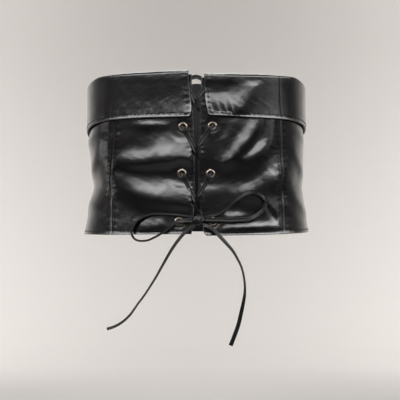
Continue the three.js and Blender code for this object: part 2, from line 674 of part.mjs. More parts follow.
const CUFF_FRONT_COLUMNS = 16;
const CUFF_SIDE_COLUMNS = 9;
for (const side of [-1, 1]) {
  const name = sideOf(side);
  const frontTurn = (u, z) => {
    const edge = readTable(CUFF_EDGE, 'z', name, z);
    return turnAt(side * mix(edge, readTable(SEAM, 'z', name, z) - CLEARANCE / 2, u), z);
  };
  const sideTurn = (u, z) => {
    const seamTurn = turnAt(side * (readTable(SEAM, 'z', name, z) + CLEARANCE / 2), z);
    return mix(seamTurn, side * radians(ELASTIC_TURN), u);
  };
  addMesh(`cuff_front_${name}`, cuffSolid(side, CUFF_FRONT_COLUMNS, frontTurn), LEATHER);
  addMesh(`cuff_side_${name}`, cuffSolid(side, CUFF_SIDE_COLUMNS, sideTurn), LEATHER);
}

// Lace: a flat strip along a route. Each row has a place and the way that the strip's width points
/** The width's direction: square to the heading in the wall, rolled so that its leading side goes in. */
function widthAcross(heading, roll) {
  const lead = Math.cos(heading) < 0 ? -1 : 1;
  const flat = Math.cos(radians(roll)) * lead;
  return new THREE.Vector3(-Math.sin(heading) * flat, Math.sin(radians(roll)), Math.cos(heading) * flat);
}

// The strip's six-sided section, as shares of its width and its thickness
const STRIP_SECTION = [[-0.5, 0], [-0.38, -0.5], [0.38, -0.5], [0.5, 0], [0.38, 0.5], [-0.38, 0.5]];

/** Sweeps the strip's section through its rows, never letting it turn over from one row to the next. */
function stripSolid(rows) {
  const curve = new THREE.CatmullRomCurve3(rows.map(({ place }) => place), false, 'centripetal');
  const across = rows[0].across.clone();
  const rings = rows.map((row, index) => {
    const tangent = curve.getTangent(index / (rows.length - 1));
    across.copy(row.across.dot(across) < 0 ? row.across.clone().negate() : row.across);
    across.addScaledVector(tangent, -across.dot(tangent)).normalize();
    const face = new THREE.Vector3().crossVectors(tangent, across);
    return STRIP_SECTION.map(([wide, thick]) => row.place.clone()
      .addScaledVector(across, wide * row.width)
      .addScaledVector(face, thick * LACE_THICK));
  });
  return ringSolid(rings, STRIP_SECTION.map(([wide, thick]) => new THREE.Vector2(wide, thick)));
}

/** Rows for a strand's way through an eyelet, or on from it, along its two headings. */
function eyeletRows(x, z, headingIn, headingOut, table) {
  return table.map(({ along, out, width }) => {
    const heading = along < 0 ? headingIn : headingOut;
    const across = widthAcross(heading, 0);
    if (along === 0) {
      const before = widthAcross(headingIn, 0);
      across.addScaledVector(before, across.dot(before) < 0 ? -1 : 1).normalize();
    }
    const place = frontPoint(x + along * Math.cos(heading), z + along * Math.sin(heading), out);
    return { place, across, width };
  });
}

/** Rows for a strand's way across the gap, coming from the left (-1) or the right (1). */
function crossingPlaces(from, height) {
  return (from < 0 ? OVER_STRAND : UNDER_STRAND).map(({ x, lift, out, roll }) => (
    { x: -from * x, z: height + lift, out, roll }
  ));
}

/** Rows for places along a route, with the width pointing square to the route, given either y or out. */
function routeRows(places) {
  return places.map(({ x, y, z, out, roll }, index) => {
    const before = places[Math.max(index - 1, 0)];
    const after = places[Math.min(index + 1, places.length - 1)];
    const heading = Math.atan2(after.z - before.z, after.x - before.x);
    const place = y === undefined ? frontPoint(x, z, out) : new THREE.Vector3(x, y, z);
    return { place, across: widthAcross(heading, roll), width: LACE_WIDTH };
  });
}

const headingTo = (from, to) => Math.atan2(to.z - from.z, to.x - from.x);

/** One strand, from the middle of the top bar down to the knot. It starts to the left (-1) or right (1). */
function strandRows(firstSide, lastTable) {
  const rows = [];
  let side = firstSide;
  let before = { x: 0, z: TOP_BAR.z };
  EYELETS.forEach((pair, index) => {
    const eyelet = side < 0 ? { x: pair.leftX, z: pair.leftZ } : { x: pair.rightX, z: pair.rightZ };
    const isLast = index === EYELETS.length - 1;
    const crossing = isLast ? [] : crossingPlaces(side, CROSSINGS[index]);
    const after = isLast ? KNOT : crossing[0];
    const table = isLast ? THROUGH_EYELET.filter(({ along }) => along < 3).concat(lastTable) : THROUGH_EYELET;
    rows.push(...eyeletRows(eyelet.x, eyelet.z, headingTo(before, eyelet), headingTo(eyelet, after), table));
    rows.push(...routeRows(crossing));
    before = crossing[crossing.length - 1];
    side = -side;
  });
  return rows;
}

const strandToRight = strandRows(-1, TO_KNOT_RIGHT);
const strandToLeft = strandRows(1, TO_KNOT_LEFT);
const middle = {
  place: frontPoint(0, TOP_BAR.z, TOP_BAR.out),
  across: widthAcross(Math.PI, 0),
  width: LACE_WIDTH,
};
addMesh('lace', stripSolid([...strandToLeft.reverse(), middle, ...strandToRight]), LACE);

// Bow: a knot of wound turns, two loops and two tails that hang free
function knotGeometry() {
  const rings = 8;
  const sides = 14;
  const place = (polar, around) => {
    const lump = 1 + KNOT_LUMP * Math.sin(polar) * Math.cos(3 * around + 2 * polar);
    const x = KNOT.x + KNOT.halfWidth * Math.cos(polar);
    const z = KNOT.z + KNOT.halfHeight * lump * Math.sin(polar) * Math.sin(around);
    return frontPoint(x, z, KNOT.out + KNOT.halfDepth * lump * Math.sin(polar) * Math.cos(around));
  };
  const points = [place(0, 0)];
  for (let ring = 1; ring < rings; ring += 1) {
    const polar = (Math.PI * ring) / rings;
    for (let i = 0; i < sides; i += 1) points.push(place(polar, (2 * Math.PI * i) / sides));
  }
  points.push(place(Math.PI, 0));
  const triangles = [];
  for (let i = 0; i < sides; i += 1) {
    const next = (i + 1) % sides;
    triangles.push(0, 1 + next, 1 + i);
    for (let ring = 0; ring < rings - 2; ring += 1) {
      const a = 1 + ring * sides + i;
      const b = 1 + ring * sides + next;
      triangles.push(a, b, b + sides, a, b + sides, a + sides);
    }
    const lastRing = 1 + (rings - 2) * sides;
    triangles.push(lastRing + i, lastRing + next, points.length - 1);
  }
  return solid(points, triangles);
}

addMesh('bow_knot', knotGeometry(), LACE);
addMesh('bow_loop_left', stripSolid(routeRows(LOOP_LEFT)), LACE);
addMesh('bow_loop_right', stripSolid(routeRows(LOOP_RIGHT)), LACE);
addMesh('lace_tail_left', stripSolid(routeRows(TAIL_LEFT)), LACE);
addMesh('lace_tail_right', stripSolid(routeRows(TAIL_RIGHT)), LACE);

export default group;
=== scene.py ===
"""The looks of a wide laced waist belt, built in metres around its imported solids."""

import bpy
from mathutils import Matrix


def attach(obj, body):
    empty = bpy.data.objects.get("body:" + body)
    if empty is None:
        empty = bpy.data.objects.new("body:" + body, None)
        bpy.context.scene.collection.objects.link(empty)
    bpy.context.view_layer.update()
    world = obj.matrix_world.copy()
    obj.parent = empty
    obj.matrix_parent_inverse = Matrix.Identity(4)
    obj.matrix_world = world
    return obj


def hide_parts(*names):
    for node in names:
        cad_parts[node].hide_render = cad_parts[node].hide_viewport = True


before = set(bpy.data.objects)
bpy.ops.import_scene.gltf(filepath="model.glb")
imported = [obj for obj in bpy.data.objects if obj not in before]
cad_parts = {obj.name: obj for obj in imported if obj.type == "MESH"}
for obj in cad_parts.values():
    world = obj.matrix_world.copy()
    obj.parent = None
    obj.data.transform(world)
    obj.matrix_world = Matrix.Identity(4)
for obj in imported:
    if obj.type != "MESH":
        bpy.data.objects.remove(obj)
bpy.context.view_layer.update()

import math

import bpy
import numpy as np

# The camera stands where the photograph was taken from, 2.2 m in front of the waist's axis and level with
# the middle of the belt, and looks straight ahead through a long lens.
FOCAL_PIXELS = 1734
FRAME_PIXELS = 400
camera = bpy.data.objects.new("camera", bpy.data.cameras.new("camera"))
camera.location = (0.0042, -2.2, -0.018)
camera.rotation_euler = (math.pi / 2, 0, 0)
camera.data.sensor_width = 36
camera.data.lens = camera.data.sensor_width * FOCAL_PIXELS / FRAME_PIXELS
camera.data.clip_start = 0.05
bpy.context.scene.collection.objects.link(camera)
bpy.context.scene.camera = camera

# The bow's loops and tails are one flat strip of coated fabric, folded lengthwise and glued, 5.2 mm wide,
# with a groove down its middle. They leave the knot and hang free, and the tails end where they were cut.
# Sizes are in millimetres and become metres when a mesh is made.
SQUARENESS = 2.3
WALL_BY_HEIGHT = [  # height, half width to the left and right, half depth to the front and back
    (-62, 141.8, 142.0, 99.0, 95.0), (-50, 139.3, 139.4, 98.0, 93.4), (-39, 136.8, 137.4, 97.2, 91.6),
    (-26, 134.7, 135.2, 96.4, 89.4), (-13, 131.8, 133.5, 95.8, 87.8), (0, 129.0, 132.2, 95.5, 87.0),
    (13, 130.8, 132.7, 95.7, 87.4), (28, 132.8, 133.7, 96.2, 88.4), (42, 134.3, 133.8, 96.6, 89.4),
    (56, 135.6, 133.9, 97.0, 90.4), (68, 134.6, 133.8, 97.2, 91.2), (140, 134.3, 133.8, 97.0, 94.0),
]


def cubic(key, rows, slopes, at):
    """Rows read between their keys. Between rows a and b, with slopes p and q and a span s apart, that is
    a (1 - e) + b e + s (t (1 - t)^2 p - t^2 (1 - t) q), where t goes from 0 to 1 and e is t^2 (3 - 2t)."""
    index = np.clip(np.searchsorted(key, at, side="right") - 1, 0, len(key) - 2)
    span = (key[index + 1] - key[index])[..., None]
    t = (at - key[index])[..., None] / span
    eased = t * t * (3 - 2 * t)
    bend = t * (1 - t) ** 2 * slopes[index] - t * t * (1 - t) * slopes[index + 1]
    return rows[index] * (1 - eased) + rows[index + 1] * eased + bend * span


def read_table(rows, at):
    """The columns after the first, at values of the first, on a cubic whose slope at a row is the harmonic
    mean of the slopes beside it, or zero at a peak. Past the ends it is level."""
    rows = np.asarray(rows, float)
    key, values = rows[:, 0], rows[:, 1:]
    slope = np.diff(values, axis=0) / np.diff(key)[:, None]
    product = slope[:-1] * slope[1:]
    total = np.where(product > 0, slope[:-1] + slope[1:], 1)
    slopes = np.vstack([slope[:1], np.where(product > 0, 2 * product / total, 0), slope[-1:]])
    return np.moveaxis(cubic(key, values, slopes, np.clip(np.asarray(at, float), key[0], key[-1])), -1, 0)


def wall_point(turn, height, out):
    """A point of the belt's wall. Its plan is |x/a|^n + |y/b|^n = 1, with half sizes a and b read by height,
    met at the signed turn from the front, and moved out along the plan's normal."""
    turn, height, out = np.broadcast_arrays(*(np.asarray(v, float) for v in (turn, height, out)))
    left, right, front, back = read_table(WALL_BY_HEIGHT, height)
    sine, cosine = np.sin(turn), np.cos(turn)
    wide = np.where(sine < 0, left, right)
    deep = np.where(cosine > 0, front, back)
    reach = (np.abs(sine) ** SQUARENESS + np.abs(cosine) ** SQUARENESS) ** (-1 / SQUARENESS)
    across = np.sign(sine) * np.abs(reach * sine) ** (SQUARENESS - 1) / wide
    inward = -np.sign(cosine) * np.abs(reach * cosine) ** (SQUARENESS - 1) / deep
    size = np.hypot(across, inward)
    return np.stack([
        wide * reach * sine + out * across / size,
        -deep * reach * cosine + out * inward / size,
        height,
    ], -1)


def turn_at(x, height):
    """The turn at which the wall is x to the right of the middle: atan of |x|/a over (1 - |x/a|^n)^(1/n)."""
    x, height = np.broadcast_arrays(np.asarray(x, float), np.asarray(height, float))
    left, right, _, _ = read_table(WALL_BY_HEIGHT, height)
    share = np.abs(x) / np.where(x < 0, left, right)
    return np.sign(x) * np.arctan2(share, (1 - share ** SQUARENESS) ** (1 / SQUARENESS))


def front_point(x, height, out):
    """The wall's point that is x to the right of the middle, moved out along the plan's normal."""
    return wall_point(turn_at(x, height), height, out)


def add_piece(name, points, quads, materials, flat=None, rim=None, which=None):
    """A smooth mesh from points in millimetres and quads. flat is each point's place on the flat material,
    in metres, rim how near it is to an edge, from 0 to 1, and which the material of each quad."""
    used, quads = np.unique(quads, return_inverse=True)
    quads = quads.reshape(-1, 4)
    mesh = bpy.data.meshes.new(name)
    mesh.vertices.add(len(used))
    mesh.vertices.foreach_set("co", (points[used] * 0.001).ravel())
    mesh.loops.add(quads.size)
    mesh.loops.foreach_set("vertex_index", quads.ravel())
    mesh.polygons.add(len(quads))
    mesh.polygons.foreach_set("loop_start", np.arange(0, quads.size, 4))
    mesh.polygons.foreach_set("use_smooth", np.ones(len(quads), bool))
    if which is not None:
        mesh.polygons.foreach_set("material_index", which)
    if flat is not None:
        mesh.uv_layers.new(name="flat").data.foreach_set("uv", flat[used][quads.ravel()].ravel())
    if rim is not None:
        mesh.attributes.new("rim", "FLOAT", "POINT").data.foreach_set("value", rim[used])
    mesh.update(calc_edges=True)
    mesh.validate()
    for material in materials:
        mesh.materials.append(material)
    piece = bpy.data.objects.new(name, mesh)
    bpy.context.scene.collection.objects.link(piece)
    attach(piece, "root")
    return piece


def grid_quads(index):
    """The quads between neighbours in a grid of point numbers, rows upwards and columns to the right."""
    return np.stack([index[:-1, :-1], index[:-1, 1:], index[1:, 1:], index[1:, :-1]], -1)


def add_shell(name, front, back, materials, flat, rim, keep=None):
    """A closed body between two grids of points that share their outer rims. Where keep is False the quad
    is left out of both grids, and a wall joins the edges of such a hole."""
    rows, columns = front.shape[:2]
    count = rows * columns
    index = np.arange(count).reshape(rows, columns)
    under = index + count
    under[[0, -1]] = index[[0, -1]]
    under[:, [0, -1]] = index[:, [0, -1]]
    keep = np.ones((rows - 1, columns - 1), bool) if keep is None else keep
    outer = grid_quads(index)[keep]
    inner = grid_quads(under)[keep][:, ::-1]
    quads = [outer, inner]
    if not keep.all():
        edges = np.concatenate([outer[:, [i, (i + 1) % 4]] for i in range(4)])
        key = edges.min(1) * count + edges.max(1)
        _, first, times = np.unique(key, return_index=True, return_counts=True)
        single = edges[first[times == 1]]
        twin = under.ravel()[single]
        inside = (twin != single).any(1)
        quads.append(np.stack([single[:, 1], single[:, 0], twin[:, 0], twin[:, 1]], -1)[inside])
    which = np.concatenate([np.full(len(q), min(i, len(materials) - 1)) for i, q in enumerate(quads)])
    points = np.concatenate([front.reshape(-1, 3), back.reshape(-1, 3)])
    flat = np.tile(flat.reshape(-1, 2), (2, 1))
    rim = np.tile(rim.ravel(), 2)
    return add_piece(name, points, np.concatenate(quads), materials, flat, rim, which)


def spaced(length, step, start=(), end=()):
    """Distances from 0 to a length: first those of start, last those of end counted back, and even steps
    of about the given size between."""
    low, high = max(start, default=0), length - max(end, default=0)
    middle = np.linspace(low, high, max(2, round((high - low) / step) + 1))
    steps = np.concatenate([[0.0], start, middle, length - np.asarray(end, float), [length]])
    return np.unique(np.round(steps, 4))


def rounded(distance, half):
    """The share of a half thickness left at a distance from an edge: a quarter circle of that radius."""
    near = np.clip(distance / half, 0, 1)
    return np.sqrt(1 - (1 - near) ** 2)


ROUTE_SAMPLES = 60


def lengths_along(points):
    """How far each point of a line lies along it from the first."""
    return np.concatenate([[0], np.cumsum(np.linalg.norm(np.diff(points, axis=0), axis=1))])


def read_along(values, along, at):
    """Rows of values that are known at distances along a line, read straight between them at others."""
    return np.stack([np.interp(at, along, column) for column in values.T], -1)


def smooth_route(rows, step=0.8, ends=()):
    """Rows of place and other values on a cubic through them, with parameter steps as the root of each
    chord, read again at even distances along it. ends gives closer distances for both ends."""
    rows = np.asarray(rows, float)
    chords = np.linalg.norm(np.diff(rows[:, :3], axis=0), axis=1)
    key = np.concatenate([[0], np.cumsum(np.sqrt(chords))])
    span = np.diff(key)[:, None]
    slope = np.diff(rows, axis=0) / span
    middle = (slope[:-1] * span[1:] + slope[1:] * span[:-1]) / (span[:-1] + span[1:])
    slopes = np.vstack([slope[:1], middle, slope[-1:]])
    values = cubic(key, rows, slopes, np.linspace(0, key[-1], ROUTE_SAMPLES * len(rows)))
    along = lengths_along(values[:, :3])
    distances = spaced(along[-1], step, ends, ends)
    return distances, read_along(values, along, distances)


def unit(vectors):
    """Vectors divided by their lengths."""
    return vectors / np.linalg.norm(vectors, axis=-1, keepdims=True)


LACE_WIDTH = 5.2
LACE_THICK = 1.3
LACE_END = (0.06, 0.2, 0.42)
LACE_PROFILE = [  # shares of the half width and of the half thickness: rolled edges, a groove between
    (0, 0.42), (0.12, 0.48), (0.34, 0.74), (0.6, 1.0), (0.78, 0.97), (0.92, 0.66), (0.985, 0.26), (1, 0),
]


def width_across(heading, roll, lead=0):
    """The way that a strip's width points: square to its heading in the wall, turned by roll into it, with
    its leading side in. lead is 1 or -1 where that side stays the same all along."""
    flat = np.cos(np.radians(roll)) * (lead or np.where(np.cos(heading) < 0, -1, 1))
    inward = np.sin(np.radians(roll)) + 0 * heading
    return np.stack([-np.sin(heading) * flat, inward, np.cos(heading) * flat], -1)


def route_rows(places, rolls, lead=0):
    """Rows of place, width direction and width along a route, its heading taken from the places beside."""
    ahead = np.concatenate([places[1:], places[-1:]])
    behind = np.concatenate([places[:1], places[:-1]])
    heading = np.arctan2(ahead[:, 2] - behind[:, 2], ahead[:, 0] - behind[:, 0])
    return np.column_stack([places, width_across(heading, rolls, lead), np.full(len(places), LACE_WIDTH)])


def add_strip(name, rows, material):
    """A strip along rows of place, width direction and width. Its section is the profile above, carried
    along the smooth route with the width direction never turning over, and rounded at both ends. Its rim
    value is the share of the half width to the sixth power. Returns the piece, its path and its length."""
    dots = np.sum(rows[1:, 3:6] * rows[:-1, 3:6], axis=1)
    rows = rows.copy()
    rows[1:, 3:6] *= np.cumprod(np.where(dots < 0, -1, 1))[:, None]
    along, fine = smooth_route(rows, ends=LACE_END)
    place, width = fine[:, :3], fine[:, 6:7]
    tangent = unit(np.gradient(place, along, axis=0))
    across = fine[:, 3:6]
    across = unit(across - np.sum(across * tangent, axis=1, keepdims=True) * tangent)
    face = np.cross(tangent, across)
    shares, thick = np.array(LACE_PROFILE).T
    shares = np.concatenate([-shares[:0:-1], shares])
    thick = np.concatenate([thick[:0:-1], thick])
    ends = rounded(np.minimum(along, along[-1] - along), LACE_END[-1])[:, None]
    middle = place[:, None] + across[:, None] * (shares[None, :, None] * width[:, None] / 2)
    lift = face[:, None] * (thick[None, :, None] * LACE_THICK / 2 * ends[:, None])
    flat = np.stack(np.broadcast_arrays(shares * LACE_WIDTH / 2000, along[:, None] / 1000), -1)
    rim = np.broadcast_to(np.abs(shares) ** 6, middle.shape[:2])
    strip = add_shell(name, middle + lift, middle - lift, [material], flat, rim)
    return strip, place / 1000, along[-1] / 1000


def new_material(name):
    """An empty node material, a function that adds a node to it and one that sets up its shader."""
    material = bpy.data.materials.new(name)
    material.use_nodes = True
    tree = material.node_tree

    def node(kind, inputs=None, **settings):
        """A new node of a kind, with its settings and its inputs."""
        made = tree.nodes.new("ShaderNode" + kind)
        for key, value in settings.items():
            setattr(made, key, value)
        connect(made, inputs or {})
        return made

    def connect(made, inputs):
        """Sets each input to its value, or links it where the value is another node's output."""
        for socket, value in inputs.items():
            if isinstance(value, bpy.types.NodeSocket):
                tree.links.new(value, made.inputs[socket])
            else:
                made.inputs[socket].default_value = value

    def shade(**inputs):
        """Sets or links the shader's inputs, with _ for each space in a name."""
        shader = tree.nodes["Principled BSDF"]
        connect(shader, {socket.replace("_", " "): value for socket, value in inputs.items()})

    return material, node, shade


def grey(level, warmth=0.0):
    """A grey of a level, its red above that and its blue below it by the share of warmth."""
    return (level * (1 + warmth), level, level * (1 - warmth), 1)


def ramp_between(node, value, low, high, start, end):
    """A number, or a colour where end is one, that goes evenly from start to end while the value goes from
    low to high."""
    if isinstance(end, tuple):
        share = ramp_between(node, value, low, high, 0.0, 1.0)
        return node("Mix", {0: share, 6: start, 7: end}, data_type="RGBA").outputs[2]
    limits = {"Value": value, "From Min": low, "From Max": high, "To Min": start, "To Max": end}
    return node("MapRange", limits).outputs["Result"]


def noise(node, place, scale, detail, kind="FBM", **inputs):
    """A noise of a kind, with so many waves a metre and so many finer octaves."""
    inputs = {"Vector": place, "Scale": scale, "Detail": detail, **inputs}
    return node("TexNoise", inputs, noise_type=kind).outputs["Fac"]


def bumps(node, *layers):
    """A normal from bumps laid one over another, each given as height, strength and depth in metres."""
    normal = {}
    for height, strength, depth in layers:
        made = node("Bump", {"Height": height, "Strength": strength, "Distance": depth, **normal})
        normal = {"Normal": made.outputs[0]}
    return normal["Normal"]


def lace_material():
    """Grain and scuffs as bumps. The strip is worn paler by its rim value times the scuffs, and the
    scuffs roughen it."""
    material, node, shade = new_material("lace_coated_fabric")
    place = node("UVMap", uv_map="flat").outputs[0]
    grain = noise(node, place, 900.0, 3.0)
    scuffs = noise(node, place, 120.0, 4.0, Roughness=0.65)
    rim = node("Attribute", attribute_name="rim").outputs["Fac"]
    worn = node("Math", {0: rim, 1: scuffs}, operation="MULTIPLY").outputs[0]
    shade(
        Base_Color=ramp_between(node, worn, 0.15, 0.7, grey(0.002), grey(0.009, 0.06)),
        Roughness=ramp_between(node, scuffs, 0.3, 0.7, 0.3, 0.4), Specular_IOR_Level=0.2,
        Normal=bumps(node, (grain, 0.15, 0.0002), (scuffs, 0.15, 0.0004)),
    )
    return material


LACE = lace_material()
LOOP_LEFT = [  # x, height, distance out from the wall, roll
    (-5.0, -38.4, 6.4, 72), (-14.5, -37.0, 5.6, 74), (-24.8, -35.6, 5.0, 74), (-44.2, -34.6, 4.6, 76),
    (-54.0, -35.4, 4.6, 76), (-63.6, -38.8, 4.8, 76), (-71.4, -44.4, 5.2, 74), (-76.6, -52.7, 5.8, 70),
    (-76.8, -58.8, 6.2, 70), (-73.3, -65.1, 6.4, 72), (-68.0, -67.4, 6.4, 73), (-58.4, -67.0, 6.2, 73),
    (-50.7, -63.8, 6.0, 70), (-41.7, -58.5, 6.2, 66), (-31.3, -50.2, 7.2, 54), (-24.8, -45.6, 8.0, 40),
    (-17.0, -43.2, 8.2, 20), (-10.5, -42.8, 8.0, 12), (-5.0, -42.6, 7.6, 8),
]
LOOP_RIGHT = [
    (9.6, -38.6, 6.2, 66), (16.5, -36.8, 7.0, 64), (24.0, -35.4, 7.0, 62), (34.4, -28.5, 6.0, 60),
    (43.4, -20.4, 5.2, 56), (56.4, -11.8, 4.8, 52), (66.0, -8.8, 5.0, 50), (74.4, -11.0, 5.6, 50),
    (80.0, -16.4, 6.2, 50), (81.4, -22.0, 6.6, 48), (78.6, -29.2, 6.6, 42), (72.2, -35.6, 6.0, 30),
    (63.0, -40.6, 5.2, 12), (50.0, -41.8, 4.6, 4), (37.0, -42.2, 5.0, 4), (27.0, -41.8, 6.2, 6),
    (19.0, -41.6, 7.2, 8), (10.0, -41.4, 7.6, 8),
]
TAIL_LEFT = [  # x, y, height, roll
    (-2.2, -106.0, -48.9, 40), (-6.6, -106.2, -51.5, 38), (-13.0, -106.0, -56.2, 40),
    (-20.5, -105.6, -64.5, 44), (-29.5, -105.0, -77.0, 50), (-36.6, -104.6, -89.0, 56),
    (-43.0, -104.2, -100.5, 62), (-48.0, -104.0, -109.5, 66), (-53.6, -103.8, -118.6, 68),
    (-58.8, -103.6, -126.8, 70), (-64.5, -103.6, -135.2, 70), (-69.9, -103.6, -142.2, 70),
    (-75.0, -103.8, -149.6, 68), (-80.5, -104.0, -157.0, 66), (-89.8, -104.4, -165.6, 62),
    (-99.6, -104.8, -171.1, 58), (-108.4, -105.2, -173.9, 54),
]
TAIL_RIGHT = [
    (7.6, -105.0, -48.2, 30), (13.2, -105.8, -49.6, 26), (20.6, -106.2, -54.0, 26),
    (29.0, -105.8, -62.8, 32), (36.0, -105.2, -70.4, 42), (44.2, -104.6, -80.0, 54),
    (49.4, -104.2, -89.0, 62), (54.0, -104.0, -98.4, 66), (56.9, -103.8, -109.2, 68),
    (58.4, -103.8, -121.0, 64), (58.2, -103.8, -132.0, 52), (56.6, -104.0, -142.0, 36),
    (53.8, -104.2, -155.0, 22), (50.6, -104.4, -168.6, 14), (46.4, -104.6, -180.6, 10),
    (41.2, -104.8, -194.0, 8),
]
for side, loop, tail in (("left", LOOP_LEFT, TAIL_LEFT), ("right", LOOP_RIGHT, TAIL_RIGHT)):
    loop, tail = np.array(loop), np.array(tail)
    for node_name, places, rolls, lead, far_end in (
        (f"bow_loop_{side}", front_point(loop[:, 0], loop[:, 1], loop[:, 2]), loop[:, 3], 0, "object"),
        (f"lace_tail_{side}", tail[:, :3], tail[:, 3], np.sign(tail[1, 0] - tail[0, 0]), "bare"),
    ):
        strip, path, length = add_strip(f"{node_name}_strip", route_rows(places, rolls, lead), LACE)
        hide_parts(node_name)

# The lacing is the same strip, from the knot up through the eyelets, across the top bar and down again.
# It lies flat on the leather, bunches up in each eyelet and turns on edge to pass through the gap.
EYELETS = [  # x and height of the left one and of the right one, from the top
    (-16.4, 128.0, 16.8, 125.0), (-16.5, 70.8, 19.1, 71.7),
    (-17.8, 14.2, 17.0, 13.8), (-21.1, -44.2, 19.8, -44.2),
]
TOP_BAR_HEIGHT, TOP_BAR_OUT = 131.6, -2.4
CROSSINGS = (104, 45.5, -15)  # heights at which the two strands cross, from the top
KNOT_X, KNOT_HEIGHT, KNOT_OUT = 2.4, -42.2, 5.4
THROUGH_EYELET = [  # distance along, distance out, width
    (-9.5, -1.95, 5.2), (-5.8, -2.9, 5.2), (-3.0, -3.0, 4.6), (-1.2, -2.5, 3.8), (-0.3, -1.4, 3.8),
    (0.0, 0.1, 3.8), (0.3, 1.6, 3.8), (1.2, 2.8, 3.8), (3.0, 3.3, 4.6), (5.9, 3.2, 5.2), (9.5, 2.1, 5.2),
]
TO_KNOT = {  # the same, from the lowest eyelet's front face to the knot
    "left": [(3.0, 3.3, 4.6), (6.5, 3.3, 5.2), (11.0, 3.5, 5.2), (15.6, 4.6, 4.6)],
    "right": [(3.0, 3.5, 4.6), (6.0, 4.1, 5.2), (9.3, 4.7, 4.6)],
}
UNDER_STRAND = [  # x from the side that it comes from, height above the crossing, distance out, roll
    (-6.0, 8.0, 1.95, 0), (-3.2, 4.2, 2.1, 15), (-1.2, 2.0, 1.8, 50), (0.0, 0.0, 0.0, 62),
    (1.2, -2.0, -1.8, 50), (3.0, -4.2, -2.8, 26), (6.0, -8.0, -1.95, 0),
]
OVER_STRAND = [
    (-7.5, 8.0, 2.0, 0), (-4.6, 3.0, 2.6, 0), (-2.8, -1.5, 2.9, 10), (-1.4, -5.0, 2.0, 45),
    (0.0, -8.0, 0.0, 62), (1.2, -10.5, -1.8, 50), (3.2, -13.5, -2.8, 26), (6.5, -17.5, -1.95, 0),
]


def eyelet_rows(x, height, heading_in, heading_out, table):
    """Rows along a strand's two headings through an eyelet at x and height: straight along the one, out
    through the hole by the table, and along the other. At the hole the width points halfway."""
    along, out, width = np.array(table).T
    heading = np.where(along < 0, heading_in, heading_out)
    across = width_across(heading, 0)
    before = width_across(np.array(heading_in), 0)
    turned = unit(across + before * np.where(across @ before < 0, -1, 1)[:, None])
    across = np.where(along[:, None] == 0, turned, across)
    place = front_point(x + along * np.cos(heading), height + along * np.sin(heading), out)
    return np.column_stack([place, across, width])


def strand_rows(side, last_table):
    """One strand, from the middle of the top bar down to the knot, starting to the left (-1) or right (1)."""
    rows = []
    before = (0.0, TOP_BAR_HEIGHT)
    for pair, crossing in zip(EYELETS, (*CROSSINGS, None)):
        x, height = pair[:2] if side < 0 else pair[2:]
        way, table = None, THROUGH_EYELET
        after = (KNOT_X, KNOT_HEIGHT)
        if crossing is None:
            table = [row for row in THROUGH_EYELET if row[0] < last_table[0][0]] + last_table
        else:
            way = np.array(OVER_STRAND if side < 0 else UNDER_STRAND)
            way[:, 0] *= -side
            way[:, 1] += crossing
            after = way[0, :2]
        heading_in = math.atan2(height - before[1], x - before[0])
        heading_out = math.atan2(after[1] - height, after[0] - x)
        rows.append(eyelet_rows(x, height, heading_in, heading_out, table))
        if way is not None:
            rows.append(route_rows(front_point(way[:, 0], way[:, 1], way[:, 2]), way[:, 3]))
            before = way[-1, :2]
        side = -side
    return np.concatenate(rows)


to_left, to_right = strand_rows(1, TO_KNOT["left"]), strand_rows(-1, TO_KNOT["right"])
top_bar = [*front_point(0.0, TOP_BAR_HEIGHT, TOP_BAR_OUT), *width_across(np.array(np.pi), 0), LACE_WIDTH]
lacing, _, _ = add_strip("lacing_strip", np.concatenate([to_left[::-1], [top_bar], to_right]), LACE)
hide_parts("lace")

# The knot is the same strip: two pressed turns side by side, where the loops and tails come out, and one
# turn pulled tight over them from top to bottom.
KNOT_HALF_WIDTH, KNOT_HALF_HEIGHT, KNOT_HALF_DEPTH = 7.5, 5.2, 3.3
KNOT_POLE = 0.05
KNOT_PLEATS = ((0.09, 5, 3), (0.03, 11, -4))  # share of the radius, waves in q, waves in p
KNOT_WAIST, KNOT_WAIST_SPREAD = 0.2, 0.4
WRAP_X, WRAP_OUT, WRAP_TILT, WRAP_WIDTH = KNOT_X - 0.4, KNOT_OUT + 0.1, 0.22, 5.4
WRAP_SLANT, WRAP_HALF_HEIGHT, WRAP_HALF_DEPTH = 5.6, 5.7, 3.6


def bell(value, centre, spread):
    """exp(-t^2), with t the distance from the centre over the spread."""
    return np.exp(-(((value - centre) / spread) ** 2))


def cap_quads(ring):
    """Quads that close a ring of an even number of points, in a band from its first edge to the opposite."""
    i = np.arange(len(ring) // 2 - 1)
    return np.stack([ring[i], ring[i + 1], ring[-2 - i], ring[-1 - i]], -1)


def tube_quads(index):
    """The quads of a tube closed at both ends, from a grid of point numbers whose rows are its rings."""
    body = grid_quads(np.column_stack([index, index[:, :1]])).reshape(-1, 4)
    return np.concatenate([body, cap_quads(index[0])[:, ::-1], cap_quads(index[-1])])


